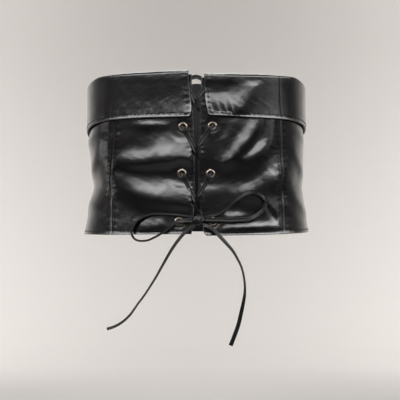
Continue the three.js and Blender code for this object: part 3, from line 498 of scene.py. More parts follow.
def knot_core():
    """A ball (cos p, sin p sin q, sin p cos q), flattened to the knot's half sizes, with pleats that follow
    the turns: its radius swells by shares of cos(5q + 3p) and cos(11q - 4p), and the tight turn draws it in
    by a bell about the middle. Its material lies flat 1 mm a radian round it and 4 mm a radian along it."""
    p = np.linspace(KNOT_POLE, np.pi - KNOT_POLE, 56)[:, None]
    q = np.linspace(0, 2 * np.pi, 97)[None, :-1]
    swell = sum(share * np.cos(round_it * q + along * p) for share, round_it, along in KNOT_PLEATS)
    waist = 1 - KNOT_WAIST * bell(p, np.pi / 2, KNOT_WAIST_SPREAD)
    ring = np.sin(p) * (1 + np.sin(p) * swell) * waist
    x = KNOT_X + KNOT_HALF_WIDTH * np.cos(p) + 0 * q
    height = KNOT_HEIGHT + KNOT_HALF_HEIGHT * ring * np.sin(q)
    points = front_point(x, height, KNOT_OUT + KNOT_HALF_DEPTH * ring * np.cos(q))
    quads = tube_quads(np.arange(x.size).reshape(x.shape))[:, ::-1]
    flat = np.stack(np.broadcast_arrays(q * 0.001, p * 0.004), -1).reshape(-1, 2)
    return add_piece("bow_knot_turns", points.reshape(-1, 3), quads, [LACE], flat, np.zeros(x.size))


def knot_wrap():
    """The tight turn: a strip along (sin q, cos q), times its half height and half depth, and slanted by
    its tilt times sin q. It leaves 30 degrees open behind, inside the core."""
    q = np.radians(np.linspace(-165, 165, 23))
    places = front_point(
        WRAP_X + WRAP_TILT * WRAP_SLANT * np.sin(q), KNOT_HEIGHT + WRAP_HALF_HEIGHT * np.sin(q),
        WRAP_OUT + WRAP_HALF_DEPTH * np.cos(q),
    )
    across = np.tile([math.cos(WRAP_TILT), 0, -math.sin(WRAP_TILT)], (len(q), 1))
    rows = np.column_stack([places, across, np.full(len(q), WRAP_WIDTH)])
    return add_strip("bow_knot_wrap", rows, LACE)[0]


for piece in (knot_core(), knot_wrap()):
    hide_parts("bow_knot")

# The eyelets are brass with an antique finish: a domed ring rolled over a barrel in front, and a washer
# that the barrel is pressed over behind. The high parts are rubbed bright and the hollows stay brown.
EYELET_PROFILE = [  # radius, distance out, how far it is rubbed bright
    (3.0, 0.9, 0.0), (3.02, 1.35, 0.1), (3.12, 1.72, 0.2), (3.34, 2.0, 0.3), (3.68, 2.2, 0.45),
    (4.1, 2.28, 0.7), (4.55, 2.24, 1.0), (4.98, 2.08, 1.0), (5.35, 1.84, 0.8), (5.62, 1.56, 0.5),
    (5.76, 1.3, 0.2), (5.74, 1.12, 0.0), (5.55, 1.02, 0.0), (3.45, 1.0, 0.0), (3.42, 0.0, 0.0),
    (3.45, -1.15, 0.0), (5.0, -1.15, 0.0), (5.2, -1.25, 0.3), (5.22, -1.4, 0.6), (4.9, -1.5, 0.5),
    (4.3, -1.55, 0.3), (4.1, -1.78, 0.9), (3.7, -1.92, 1.0), (3.3, -1.8, 0.8), (3.05, -1.5, 0.4),
    (3.0, -1.0, 0.1), (2.98, 0.0, 0.0),
]
EYELET_SIDES = 56
BRASS_BROWN, BRASS_BRIGHT = (0.02, 0.013, 0.01, 1), (0.19, 0.163, 0.133, 1)


def wall_frame(x, height):
    """Unit vectors along the wall, up it and out of it, from differences of one millimetre either way."""
    along = front_point(x + 1, height, 0) - front_point(x - 1, height, 0)
    up = front_point(x, height + 1, 0) - front_point(x, height - 1, 0)
    outward = unit(np.cross(along, up))
    along = unit(along)
    return along, np.cross(outward, along), outward


def brass_material():
    """Stains and pits as bumps. The rim value times the stains makes the metal brighter and smoother."""
    material, node, shade = new_material("antique_brass")
    place = node("TexCoord").outputs["Object"]
    rubbed = node("Attribute", attribute_name="rim").outputs["Fac"]
    stain = noise(node, place, 420.0, 5.0, Roughness=0.7)
    pits = noise(node, place, 2600.0, 2.0)
    bright = node("Math", {0: rubbed, 1: stain, 2: 0.12}, operation="MULTIPLY_ADD").outputs[0]
    shade(
        Base_Color=ramp_between(node, bright, 0.2, 0.62, BRASS_BROWN, BRASS_BRIGHT),
        Roughness=ramp_between(node, bright, 0.15, 0.6, 0.55, 0.22),
        Normal=bumps(node, (pits, 0.35, 0.0001), (stain, 0.3, 0.0003)), Metallic=1.0,
    )
    return material


def add_eyelet(name, x, height, material):
    """The profile turned about the way out of the wall: centre + out n + r (cos q a + sin q u), where a
    and u are the ways along the wall and up it."""
    along, up, outward = wall_frame(x, height)
    radius, out, rubbed = (column[:, None, None] for column in np.array(EYELET_PROFILE).T)
    q = np.linspace(0, 2 * np.pi, EYELET_SIDES + 1)[None, :-1, None]
    centre = front_point(x, height, 0)
    points = centre + out * outward + radius * (np.cos(q) * along + np.sin(q) * up)
    index = np.arange(points[..., 0].size).reshape(points.shape[:2])
    index = np.pad(index, ((0, 1), (0, 1)), mode="wrap")
    rim = np.broadcast_to(rubbed[..., 0], points.shape[:2]).ravel()
    return add_piece(name, points.reshape(-1, 3), grid_quads(index).reshape(-1, 4), [material], rim=rim)


BRASS = brass_material()
for number, (left_x, left_height, right_x, right_height) in enumerate(EYELETS, 1):
    for side, x, height in (("left", left_x, left_height), ("right", right_x, right_height)):
        eyelet = add_eyelet(f"eyelet_ring_{side}_{number}", x, height, BRASS)
        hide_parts(f"eyelet_{side}_{number}")

# The front panels are coated fabric with a smooth leather look, cut to shape, lined with black twill and
# turned in at the gap and at the hem, where a row of stitches holds the turning. Wear pulls them into soft
# folds between the eyelets and the side seams.
PANEL_HALF, PANEL_TOP_DROP = 0.9, 1.3
TOP_LINE = [  # turn in degrees, height to the left and to the right
    (0, 140.0, 136.0), (25, 137.6, 135.2), (45, 136.0, 135.0), (56, 134.6, 134.6), (70, 129.0, 129.2),
    (85, 122.6, 122.8), (105, 118.6, 119.0), (140, 126.4, 126.6), (180, 136.0, 136.0),
]
HEM_LINE = [
    (0, -59.4, -61.4), (25, -59.8, -60.8), (45, -60.4, -60.0), (56, -60.8, -59.4), (70, -61.0, -58.8),
    (85, -61.2, -58.2), (105, -60.6, -58.6), (140, -60.0, -59.4), (180, -59.7, -59.7),
]
STAND = [  # turn in degrees, how far the cuff stands out at its fold and at its hem
    (0, 5.3, 5.9), (20, 4.9, 5.5), (45, 3.9, 4.7), (70, 3.3, 3.7), (85, 3.2, 3.1), (180, 3.2, 3.1),
]
PANEL_EDGE = [  # height, distance of the panel's free edge from the middle to the left and to the right
    (-61.4, 6.2, 12.2), (-59.2, 5.7, 9.8), (-56.5, 5.5, 8.8), (-48, 4.8, 7.4), (-36, 3.4, 4.8),
    (-20, 2.6, 3.4), (-6, 2.1, 2.3), (40, 2.3, 2.2), (50, 2.6, 2.6), (66, 3.5, 3.7), (86, 4.4, 4.5),
    (110, 5.4, 5.3), (140, 5.9, 5.6),
]
SEAM = [  # height, distance of the side seam from the middle
    (-60, 104.0, 106.2), (0, 104.2, 103.6), (75, 101.6, 101.6), (110, 101.4, 99.0), (140, 101.2, 98.6),
]
PANEL_FOLDS = [  # rows along a crest: x, height, how far it stands out, its spread above and below
    [(-104, 29, 0.9, 10, 8), (-84, 28, 3.0, 13, 9), (-63, 27.5, 3.4, 16, 9), (-37, 30, 4.8, 21, 10),
     (-8, 29, 4.0, 20, 10)],
    [(-105, 7, 2.4, 14, 10), (-96, 2.5, 3.9, 17, 12), (-80, -5, 4.0, 18, 13), (-60, -13.4, 4.0, 21, 14),
     (-30, -17.5, 3.8, 21, 14), (-8, -21, 2.8, 18, 12)],
    [(-76, 73.0, 0.2, 4, 6), (-55, 73.2, 0.7, 4, 6), (-34, 73.0, 0.3, 4, 6)],
    [(-78, -54, 0.1, 8, 6), (-62, -52, 1.2, 11, 6), (-44, -49, 1.1, 11, 6), (-30, -48, 0.3, 8, 6)],
    [(30, 26, 1.4, 8, 9), (44, 35.5, 3.1, 11, 7), (57, 48, 3.4, 11, 6), (67, 61, 3.0, 10, 5),
     (74, 77, 2.2, 9, 5), (77, 92, 1.4, 9, 5)],
    [(27, 24, 0.8, 6, 12), (45, 26.5, 1.8, 8, 14), (63, 32, 2.7, 9, 14), (78, 41.5, 3.1, 9, 13),
     (87, 53, 2.8, 8, 10), (90, 76, 2.0, 8, 8), (91, 92, 1.2, 8, 8)],
    [(14, -9, 0.8, 12, 18), (42, -11, 1.3, 13, 22), (66, -8, 2.6, 13, 22), (82, -1, 4.2, 16, 16),
     (93, 6, 5.2, 18, 12), (104, 12, 3.4, 18, 12)],
    [(28, 38, 0.7, 8, 8), (37, 55, 0.9, 8, 8), (46, 73, 0.6, 8, 8)],
    [(26, -39.6, 0.7, 6, 5), (46, -39, 1.3, 6, 6), (64, -38.5, 0.7, 6, 6)],
    [(31, -53, 0.6, 4, 5), (60, -51.6, 1.1, 4.5, 5), (98, -50, 0.8, 4.5, 5)],
    [(60, -25, 0.4, 14, 8), (78, -27, 1.1, 15, 8), (92, -27, 1.5, 15, 8), (104, -26, 1.0, 14, 8)],
    [(83, -24, -0.4, 3, 3), (90, -33, -1.2, 3, 3), (96, -43, -0.4, 3, 3)],
]
FOLDS_END, FOLDS_FADE = 100, 12
PANEL_WIDTH, PANEL_HEIGHT, PANEL_STEP = 100, 194, 1.15
TOP_STEPS = (0.25, 0.6, 1.0)
EDGE_STEPS = (0.08, 0.25, 0.5, 0.9, 1.4, 2.0, 2.8, 3.6, 4.0, 4.3, 4.6, 5.0, 5.6, 6.2, 6.8, 7.4)
EDGE_STITCH, SEAM_STITCH = 4.3, 4.0
SEAM_ROUNDING, SEAM_LAP = 0.45, 0.05
EYELET_HOLE, RIM_REACH = 4.3, 1.2
GAP_TURN, GAP_FADE = math.radians(1), 5
EYELET_CLEAR, EYELET_FULL = 8, 20
EYELET_PULL, PULL_RADIUS, PULL_SPREAD = 0.35, 6.4, 2.2
LEATHER_BLACK, LEATHER_CLOUD = (0.0008, 0.0007, 0.0010, 1), (0.0020, 0.0018, 0.0024, 1)
LEATHER_WORN = (0.07, 0.067, 0.067, 1)


def ease(value, low, high):
    """A share that rises from 0 at low to 1 at high as t^2 (3 - 2t)."""
    t = np.clip((value - low) / (high - low), 0, 1)
    return t * t * (3 - 2 * t)


def line_height(line, turn):
    """The height of a line round the belt at a signed turn."""
    left, right = read_table(line, np.abs(np.degrees(turn)))
    return np.where(np.sin(turn) < 0, left, right)


def stand_off(turn):
    """How far the cuff stands out at its fold and at its hem, at a turn to either side."""
    return read_table(STAND, np.abs(np.degrees(turn)))


def sided(table, side, height):
    """The left or the right column of a table by height."""
    return read_table(table, height)[int(side > 0)]


def seam_turn_at_waist(side):
    """The turn at which the side seam crosses the waist."""
    return turn_at(side * sided(SEAM, side, 0), 0)


def fold_centre(turn):
    """The height of the middle of the cuff's half circle: the top line, less half a thickness and half of
    how far the fold stands out."""
    return line_height(TOP_LINE, turn) - PANEL_HALF - stand_off(turn)[0] / 2


def panel_top(turn):
    """The height of a panel's top edge, inside the cuff and a little under the middle of its half circle."""
    return fold_centre(turn) - PANEL_TOP_DROP


def fold_height(folds, across, up):
    """Sum of soft ridges: each is its height times exp(-(d/s)^2), with d the distance to its crest, a smooth
    line, and s its spread. The spreads above and below the line, which are its left and right in the order
    of its rows, are mixed by the sine of the angle from the line."""
    across, up = np.broadcast_arrays(across, up)
    total = np.zeros(across.shape)
    for rows in folds:
        rows = np.array(rows, float)
        _, crest = smooth_route(np.column_stack([rows[:, :2], np.zeros(len(rows)), rows[:, 2:]]), step=6)
        nearest, height = np.full(across.shape, np.inf), np.zeros(across.shape)
        spread = np.ones(across.shape)
        for here, ahead in zip(crest[:-1], crest[1:]):
            step = ahead - here
            length = np.hypot(step[0], step[1])
            share = ((across - here[0]) * step[0] + (up - here[1]) * step[1]) / length ** 2
            share = np.clip(share, 0, 1)
            off_x, off_z = across - here[0] - share * step[0], up - here[1] - share * step[1]
            distance = np.hypot(off_x, off_z)
            above = 0.5 + 0.5 * (step[0] * off_z - step[1] * off_x) / np.maximum(distance * length, 1e-6)
            high, wide_above, wide_below = (here[i] + share * step[i] for i in (3, 4, 5))
            closer = distance < nearest
            nearest = np.where(closer, distance, nearest)
            height = np.where(closer, high, height)
            spread = np.where(closer, wide_below + above * (wide_above - wide_below), spread)
        total += height * bell(nearest, 0, spread)
    return total


def crumple(across, up):
    """Slight unevenness of worn leather: sines of 14 to 45 mm, each bent by another, 0.1 mm in all."""
    a, b = across / 45, up / 45
    swell = np.sin(2 * np.pi * (a + 0.35 * np.sin(2.1 * b + 0.6)) + 1.3)
    swell = swell * np.sin(2 * np.pi * (1.3 * b + 0.2 * np.sin(3 * a)))
    ripple = np.sin(2 * np.pi * (2.3 * b + 0.4 * np.sin(2 * np.pi * a) + 0.9 * a))
    fine = np.sin(2 * np.pi * (3.2 * a - 1.1 * b + 0.5 * np.sin(2 * np.pi * 1.7 * b)))
    return 0.06 * swell + 0.03 * ripple + 0.02 * fine


def turned_edge(distance, along, stitch=EDGE_STITCH, roll=0.21):
    """Relief by the distance from a turned edge, in bells: the leather rolls up at 0.4 mm, is pressed down as
    far at 2.6 mm and eases back over 8 mm. The stitches sink a groove of 0.05 mm, and the leather beside
    them puckers by 0.06 mm in uneven waves of 6.6 mm."""
    pressed = bell(distance, 2.6, np.where(distance < 2.6, 1.2, 8.0))
    rolled = roll * (bell(distance, 0.4, 1.0) - pressed)
    groove = 0.05 * bell(distance, stitch, 0.5)
    waves = 0.06 * np.sin(2 * np.pi * along / 6.6 + 1.2 * np.sin(along / 17))
    return rolled - groove + waves * bell(distance, stitch, 3.5)


def seam_edge(distance, along, stitch=SEAM_STITCH):
    """Relief by the distance from a seam: the edge dips by 0.16 mm in a bell, the allowance pressed under it
    stands 0.12 mm proud, and the stitches beside it sink a groove of 0.06 mm. The leather 1.5 mm past them
    puckers by 0.08 mm in uneven waves of 8.2 mm."""
    dip = 0.16 * bell(distance, 0, 1.3)
    allowance = 0.12 * (1 - ease(distance, stitch + 1, stitch + 7))
    groove = 0.06 * bell(distance, stitch, 0.6)
    waves = 0.08 * np.sin(2 * np.pi * along / 8.2 + 1.5 * np.sin(along / 9))
    return allowance - dip - groove + waves * bell(distance, stitch + 1.5, 4)


def rim_share(*edges):
    """The share of the thickness left beside several edges, each given as distance and rounding."""
    return np.minimum.reduce([rounded(distance, radius) for distance, radius in edges])


def front_place(side, u, v, out):
    """A point of a front panel and its distance from the nearest eyelet. u counts from the gap's edge to the
    seam and v from the hem to the top, as shares of the true width and height there. The folds add to out
    and fade towards the eyelets, the gap and the cuff. A bell round each eyelet draws the leather in."""
    seam_turn = seam_turn_at_waist(side)
    turn = side * GAP_TURN * (1 - u / PANEL_WIDTH) + seam_turn * u / PANEL_WIDTH
    hem = line_height(HEM_LINE, turn)
    height = hem + (panel_top(turn) - hem) * v / PANEL_HEIGHT
    edge, seam = sided(PANEL_EDGE, side, height), sided(SEAM, side, height) + SEAM_LAP
    x = side * (edge + (seam - edge) * u / PANEL_WIDTH)
    nearest = np.full(x.shape, np.inf)
    for pair in EYELETS:
        eyelet_x, eyelet_height = pair[:2] if side < 0 else pair[2:]
        nearest = np.minimum(nearest, np.hypot(x - eyelet_x, height - eyelet_height))
    kept = ease(nearest, EYELET_CLEAR, EYELET_FULL) * ease(u, 0, GAP_FADE)
    kept = kept * (1 - ease(height, FOLDS_END - FOLDS_FADE, FOLDS_END))
    folds = fold_height(PANEL_FOLDS, x, height) * kept
    pulled = EYELET_PULL * bell(nearest, PULL_RADIUS, PULL_SPREAD)
    return front_point(x, height, out + folds - pulled), nearest


def front_relief(u, v):
    """The reliefs of the gap's edge, the hem, the seam and the wear, less where the thickness rounds off."""
    relief = turned_edge(u, v, roll=0.1) + turned_edge(v, u) + seam_edge(PANEL_WIDTH - u, v) + crumple(u, v)
    return relief * rim_share((u, PANEL_HALF), (PANEL_WIDTH - u, SEAM_ROUNDING), (v, PANEL_HALF))


def leather_material():
    """Cells, pores, soft hollows and veins as bumps, over a black that varies in clouds. It is worn grey by
    the rim value times the hollows, which also roughen it, and shines most at the rim."""
    material, node, shade = new_material("coated_leather")
    place = node("TexCoord").outputs["Object"]
    rim = node("Attribute", attribute_name="rim").outputs["Fac"]
    cells = node("TexVoronoi", {"Vector": place, "Scale": 1100.0, "Randomness": 1.0}, feature="SMOOTH_F1")
    pores = noise(node, place, 2400.0, 2.0)
    soft = noise(node, place, 160.0, 5.0, Roughness=0.62, Distortion=0.6)
    veins = noise(node, place, 75.0, 4.0, "RIDGED_MULTIFRACTAL", Roughness=0.55, Distortion=1.4)
    cloud = noise(node, place, 28.0, 3.0)
    worn = node("Math", {0: rim, 1: soft}, operation="MULTIPLY").outputs[0]
    black = ramp_between(node, cloud, 0.35, 0.65, LEATHER_BLACK, LEATHER_CLOUD)
    shade(
        Base_Color=ramp_between(node, worn, 0.3, 0.75, black, LEATHER_WORN),
        Roughness=ramp_between(node, soft, 0.3, 0.7, 0.15, 0.2),
        Specular_IOR_Level=ramp_between(node, rim, 0.1, 0.7, 0.5, 1.0),
        Normal=bumps(
            node, (cells.outputs["Distance"], 0.4, 0.0002), (pores, 0.1, 0.0001), (soft, 0.17, 0.001),
            (veins, 0.06, -0.0005),
        ),
    )
    return material


def twill_material():
    """Matt black. Slanting ribs times the yarn's grain raise it and make it paler."""
    material, node, shade = new_material("lining_twill")
    place = node("UVMap", uv_map="flat").outputs[0]
    turned = node("Mapping", {"Vector": place, "Rotation": (0, 0, 0.9)}).outputs[0]
    ribs = node("TexWave", {"Vector": turned, "Scale": 260.0, "Distortion": 0.3, "Detail": 2.0})
    yarn = noise(node, place, 1500.0, 3.0)
    mixed = node("Math", {0: ribs.outputs["Fac"], 1: yarn}, operation="MULTIPLY").outputs[0]
    shade(
        Base_Color=ramp_between(node, mixed, 0.1, 0.6, grey(0.006), grey(0.02)), Roughness=0.85,
        Sheen_Weight=0.25, Sheen_Roughness=0.5, Normal=bumps(node, (mixed, 0.5, 0.0003)),
    )
    return material


def thread_material():
    """Matt black, raised and made paler along the slanting twist."""
    material, node, shade = new_material("polyester_thread")
    place = node("TexCoord").outputs["Object"]
    twist = node("TexWave", {"Vector": place, "Scale": 900.0, "Distortion": 2.0}, bands_direction="DIAGONAL")
    twist = twist.outputs["Fac"]
    shade(
        Base_Color=ramp_between(node, twist, 0.2, 0.8, grey(0.001), grey(0.004)), Roughness=0.75,
        Specular_IOR_Level=0.12, Normal=bumps(node, (twist, 0.4, 0.0001)),
    )
    return material


LEATHER, TWILL, THREAD = leather_material(), twill_material(), thread_material()
STITCH_PITCH, STITCH_LENGTH = 5.2, 3.3
STITCH_THIN, STITCH_SWELL, STITCH_RISE, STITCH_SUNK = 0.18, 0.38, 0.42, 0.28
STITCHES_START, FRONT_STITCHES_TOP = 2, 148


def stitch_line(surface, u, v):
    """Points along a row of stitches and the way out there, from a surface that takes u, v and out."""
    u, v = np.broadcast_arrays(np.asarray(u, float), np.asarray(v, float))
    place = surface(u, v, 0.0)
    return place, unit(surface(u, v, 1.0) - place)


def add_stitches(name, lines):
    """One mesh of stitches, a pitch apart along each line. A stitch is a six-sided tube whose radius and
    lift grow by 1 - t^2 along it, so that it rises out of the leather and dives back in."""
    t = np.array([-1, -0.75, -0.3, 0.3, 0.75, 1])[:, None]
    q = np.radians(np.arange(6) * 60)[None]
    radius = STITCH_THIN + STITCH_SWELL * (1 - t ** 2) + 0 * q
    forward = t * STITCH_LENGTH / 2 + 0 * q
    lift = STITCH_RISE * (1 - t ** 2) - STITCH_SUNK + radius * np.sin(q)
    sideways = radius * np.cos(q)
    shape = tube_quads(np.arange(radius.size).reshape(radius.shape))
    points, quads, count = [], [], 0
    for place, outward in lines:
        along = lengths_along(place)
        number = int((along[-1] - STITCH_LENGTH) // STITCH_PITCH)
        start = (along[-1] - (number - 1) * STITCH_PITCH) / 2
        at = start + STITCH_PITCH * np.arange(number)
        centre = read_along(place, along, at)
        ahead = unit(read_along(place, along, at + 1) - read_along(place, along, at - 1))
        out = read_along(outward, along, at)
        out = unit(out - np.sum(out * ahead, axis=1, keepdims=True) * ahead)
        beside = np.cross(out, ahead)
        made = (
            centre[:, None, None] + ahead[:, None, None] * forward[None, ..., None]
            + out[:, None, None] * lift[None, ..., None] + beside[:, None, None] * sideways[None, ..., None]
        )
        points.append(made.reshape(-1, 3))
        first = radius.size * (count + np.arange(number))[:, None, None]
        quads.append((shape[None] + first).reshape(-1, 4))
        count += number
    return add_piece(name, np.concatenate(points), np.concatenate(quads), [THREAD])


def add_leather(name, node_name, grids, turned, lines):
    """A sewn leather piece: a shell from its grids of front, back, flat place, rim and, with holes, quads
    kept, whose columns are turned round where its outer side needs it, and its stitches. {} in the name
    stands for leather or stitches."""
    front, back, *others = (grid[:, ::-1] if turned else grid for grid in grids)
    piece = add_shell(name.format("leather"), front, back, [LEATHER, TWILL], *others)
    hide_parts(node_name)
    stitches = add_stitches(name.format("stitches"), lines)


for side, name in ((-1, "left"), (1, "right")):
    u, v = np.broadcast_arrays(
        spaced(PANEL_WIDTH, PANEL_STEP, EDGE_STEPS, EDGE_STEPS)[None],
        spaced(PANEL_HEIGHT, PANEL_STEP, EDGE_STEPS, TOP_STEPS)[:, None],
    )
    rest = rim_share(
        (u, PANEL_HALF), (PANEL_WIDTH - u, SEAM_ROUNDING), (v, PANEL_HALF), (PANEL_HEIGHT - v, PANEL_HALF),
    )
    front, far = front_place(side, u, v, PANEL_HALF * rest + front_relief(u, v))
    back, _ = front_place(side, u, v, -PANEL_HALF * rest)
    keep = np.maximum.reduce([far[:-1, :-1], far[1:, :-1], far[:-1, 1:], far[1:, 1:]]) > EYELET_HOLE
    flat, rim = np.stack([u, v], -1) / 1000, np.exp(-np.minimum(u, v) / RIM_REACH)
    surface = lambda u, v, out: front_place(side, u, v, PANEL_HALF + front_relief(u, v) + out)[0]
    full = np.linspace(STITCHES_START, PANEL_WIDTH - STITCHES_START, 300)
    tall = np.linspace(STITCHES_START, FRONT_STITCHES_TOP, 400)
    add_leather(
        f"front_{{}}_{name}", f"front_panel_{name}", (front, back, flat, rim, keep), side < 0, [
            stitch_line(surface, EDGE_STITCH, tall), stitch_line(surface, full, EDGE_STITCH),
            stitch_line(surface, PANEL_WIDTH - SEAM_STITCH, tall),
        ],
    )

# The side panels are cut from the same lined leather. They are sewn to the front panels in a pressed seam
# with a row of stitches on either side, and to the elastic at their other edge, and ease into slack folds.
ELASTIC_TURN = math.radians(105)
SIDE_WIDTH, SIDE_STEP = 92, 1.3
SIDE_FOLDS = [  # rows along a crest: turn in degrees times 2.1, height, how far out, spread above and below
    [(-126, 42, 0.8, 9, 8), (-151, 24, 1.8, 10, 9), (-178, 12, 1.2, 9, 8)],
    [(-122, -28, 0.8, 10, 9), (-155, -22, 1.7, 11, 9), (-192, -30, 1.2, 9, 9)],
    [(-128, 66, 0.5, 8, 6), (-160, 56, 1.0, 9, 7), (-190, 52, 0.6, 8, 7)],
    [(126, 40, 0.8, 9, 9), (155, 18, 1.7, 10, 9), (193, 8, 1.0, 9, 8)],
    [(118, -10, 0.7, 9, 8), (151, -28, 1.6, 10, 8), (189, -34, 1.1, 9, 8)],
    [(124, 70, 0.5, 8, 6), (158, 60, 1.0, 9, 7), (190, 50, 0.6, 8, 7)],
]
MM_PER_DEGREE, SIDE_FOLDS_END = 2.1, 74
SIDE_FADE, CARRIED_FADE = 0.25, 0.35
SEAM_STITCHES_TOP, ELASTIC_STITCHES_TOP = 145, 150


def side_place(side, u, v, out):
    """A point of a side panel. u counts from the seam to the elastic and v from the hem to the top, as shares
    of the true width and height. Its own folds fade at both ends and below the cuff, and the front panel's
    folds run on over the seam and fade, each over its share of the width."""
    share = u / SIDE_WIDTH
    elastic_turn = side * ELASTIC_TURN
    column = seam_turn_at_waist(side) * (1 - share) + elastic_turn * share
    hem = line_height(HEM_LINE, column)
    height = hem + (panel_top(column) - hem) * v / PANEL_HEIGHT
    seam = sided(SEAM, side, height)
    turn = turn_at(side * (seam - SEAM_LAP), height) * (1 - share) + elastic_turn * share
    kept = ease(share, 0, SIDE_FADE) * (1 - ease(share, 1 - SIDE_FADE, 1))
    kept = kept * (1 - ease(height, SIDE_FOLDS_END - FOLDS_FADE, SIDE_FOLDS_END))
    folds = fold_height(SIDE_FOLDS, np.degrees(turn) * MM_PER_DEGREE, height) * kept
    carried = fold_height(PANEL_FOLDS, side * seam, height) * (1 - ease(share, 0, CARRIED_FADE))
    carried = carried * (1 - ease(height, FOLDS_END - FOLDS_FADE, FOLDS_END))
    return wall_point(turn, height, out + folds + carried)


def side_relief(u, v):
    """The reliefs of both seams, the hem and the wear, less where the thickness rounds off."""
    relief = seam_edge(u, v) + seam_edge(SIDE_WIDTH - u, v) + turned_edge(v, u) + crumple(u + 31, v)
    return relief * rim_share((u, SEAM_ROUNDING), (SIDE_WIDTH - u, SEAM_ROUNDING), (v, PANEL_HALF))


for side, name in ((-1, "left"), (1, "right")):
    u, v = np.broadcast_arrays(
        spaced(SIDE_WIDTH, SIDE_STEP, EDGE_STEPS, EDGE_STEPS)[None],
        spaced(PANEL_HEIGHT, SIDE_STEP, EDGE_STEPS, TOP_STEPS)[:, None],
    )
    rest = rim_share(
        (u, SEAM_ROUNDING), (SIDE_WIDTH - u, SEAM_ROUNDING), (v, PANEL_HALF), (PANEL_HEIGHT - v, PANEL_HALF),
    )
    front = side_place(side, u, v, PANEL_HALF * rest + side_relief(u, v))
    back = side_place(side, u, v, -PANEL_HALF * rest)
    flat, rim = np.stack([u, v], -1) / 1000, np.exp(-np.minimum(SIDE_WIDTH - u, v) / RIM_REACH)
    surface = lambda u, v, out: side_place(side, u, v, PANEL_HALF + side_relief(u, v) + out)
    full = np.linspace(STITCHES_START, SIDE_WIDTH - STITCHES_START, 300)
    tall = np.linspace(STITCHES_START, SEAM_STITCHES_TOP, 400)
    taller = np.linspace(STITCHES_START, ELASTIC_STITCHES_TOP, 400)
    add_leather(
        f"side_{{}}_{name}", f"side_panel_{name}", (front, back, flat, rim), side < 0, [
            stitch_line(surface, SEAM_STITCH, tall), stitch_line(surface, full, EDGE_STITCH),
            stitch_line(surface, SIDE_WIDTH - SEAM_STITCH, taller),
        ],
    )

# The cuff is a band of the same leather sewn to the panels' top edge and turned over outwards, so that it
# hangs free over them. Its lower edge and its ends at the gap are rolled round a thick turning and stitched.
CUFF_LINE = [  # turn in degrees, height of the lower edge to the left and to the right
    (0, 82.6, 84.8), (25, 81.6, 82.2), (45, 79.9, 80.8), (56, 77.6, 79.2), (70, 72.8, 75.4),
    (85, 67.2, 70.2), (105, 60.2, 63.6), (140, 50.0, 52.0), (180, 46.0, 46.0),
]
CUFF_EDGE = [  # height, distance of the cuff's end from the middle of the gap to the left and to the right
    (83.8, 8.6, 17.2), (86.6, 6.1, 13.2), (92, 6.0, 12.0), (108, 7.6, 10.0), (124, 8.8, 9.2),
    (140, 9.6, 8.8),
]
CUFF_FOLDS = [  # rows along a crest: x, height, how far it stands out, its spread above and below
    [(-98, 94, -0.6, 28, 12), (-70, 95, -0.8, 28, 13), (-40, 96, -0.8, 28, 13), (-24, 98, -0.5, 26, 12)],
    [(72, 96, -0.5, 24, 12), (86, 95, -0.9, 26, 12), (98, 94, -0.9, 26, 12)],
    [(-32, 84, 0.2, 10, 5), (-20, 85, 0.4, 9, 5), (-8, 86, 0.9, 8, 5)],
    [(10, 86.5, 0.9, 15, 6), (34, 87, 1.6, 16, 7), (47, 90, 1.8, 16, 8), (57, 101, 1.6, 13, 8),
     (65, 113, 1.2, 12, 8), (71, 125, 0.6, 10, 8)],
    [(8, 112, -0.8, 20, 8), (34, 114, -0.8, 20, 8)],
]
CUFF_FOOT, CUFF_ARC, CUFF_LENGTH = 1.0, 8.0, 59.0
CUFF_HEM_HALF, CUFF_STITCH, CUFF_STEP, CUFF_DROP_STEP = 1.3, 4.4, 1.1, 0.9
CUFF_WIDTH = {"front": 96, "side": 93}
CUFF_MIDDLE_HEIGHT = 111.4
TURNING_STARTS, TURNING_FULL = CUFF_LENGTH - 24, CUFF_LENGTH - 6
PUCKERS_DEEP, PUCKERS_PITCH = 0.75, 9.1
END_STITCHES_TOP, END_STITCHES_FOOT = 10, CUFF_LENGTH - 7
CUFF_FADE_LOW, CUFF_FADE_HIGH, DROP_FADE = 12, 3, 3
SEAM_DIP, SEAM_DIP_SPREAD = 0.08, 1.2


def cuff_turn(side, part, share, height):
    """The turn at a share of the way along a cuff piece, from the gap or from the seam, at a height."""
    if part == "front":
        edge, seam = sided(CUFF_EDGE, side, height), sided(SEAM, side, height) + SEAM_LAP
        return turn_at(side * (edge + (seam - edge) * share), height)
    seam_turn = turn_at(side * (sided(SEAM, side, height) - SEAM_LAP), height)
    return seam_turn * (1 - share) + side * ELASTIC_TURN * share


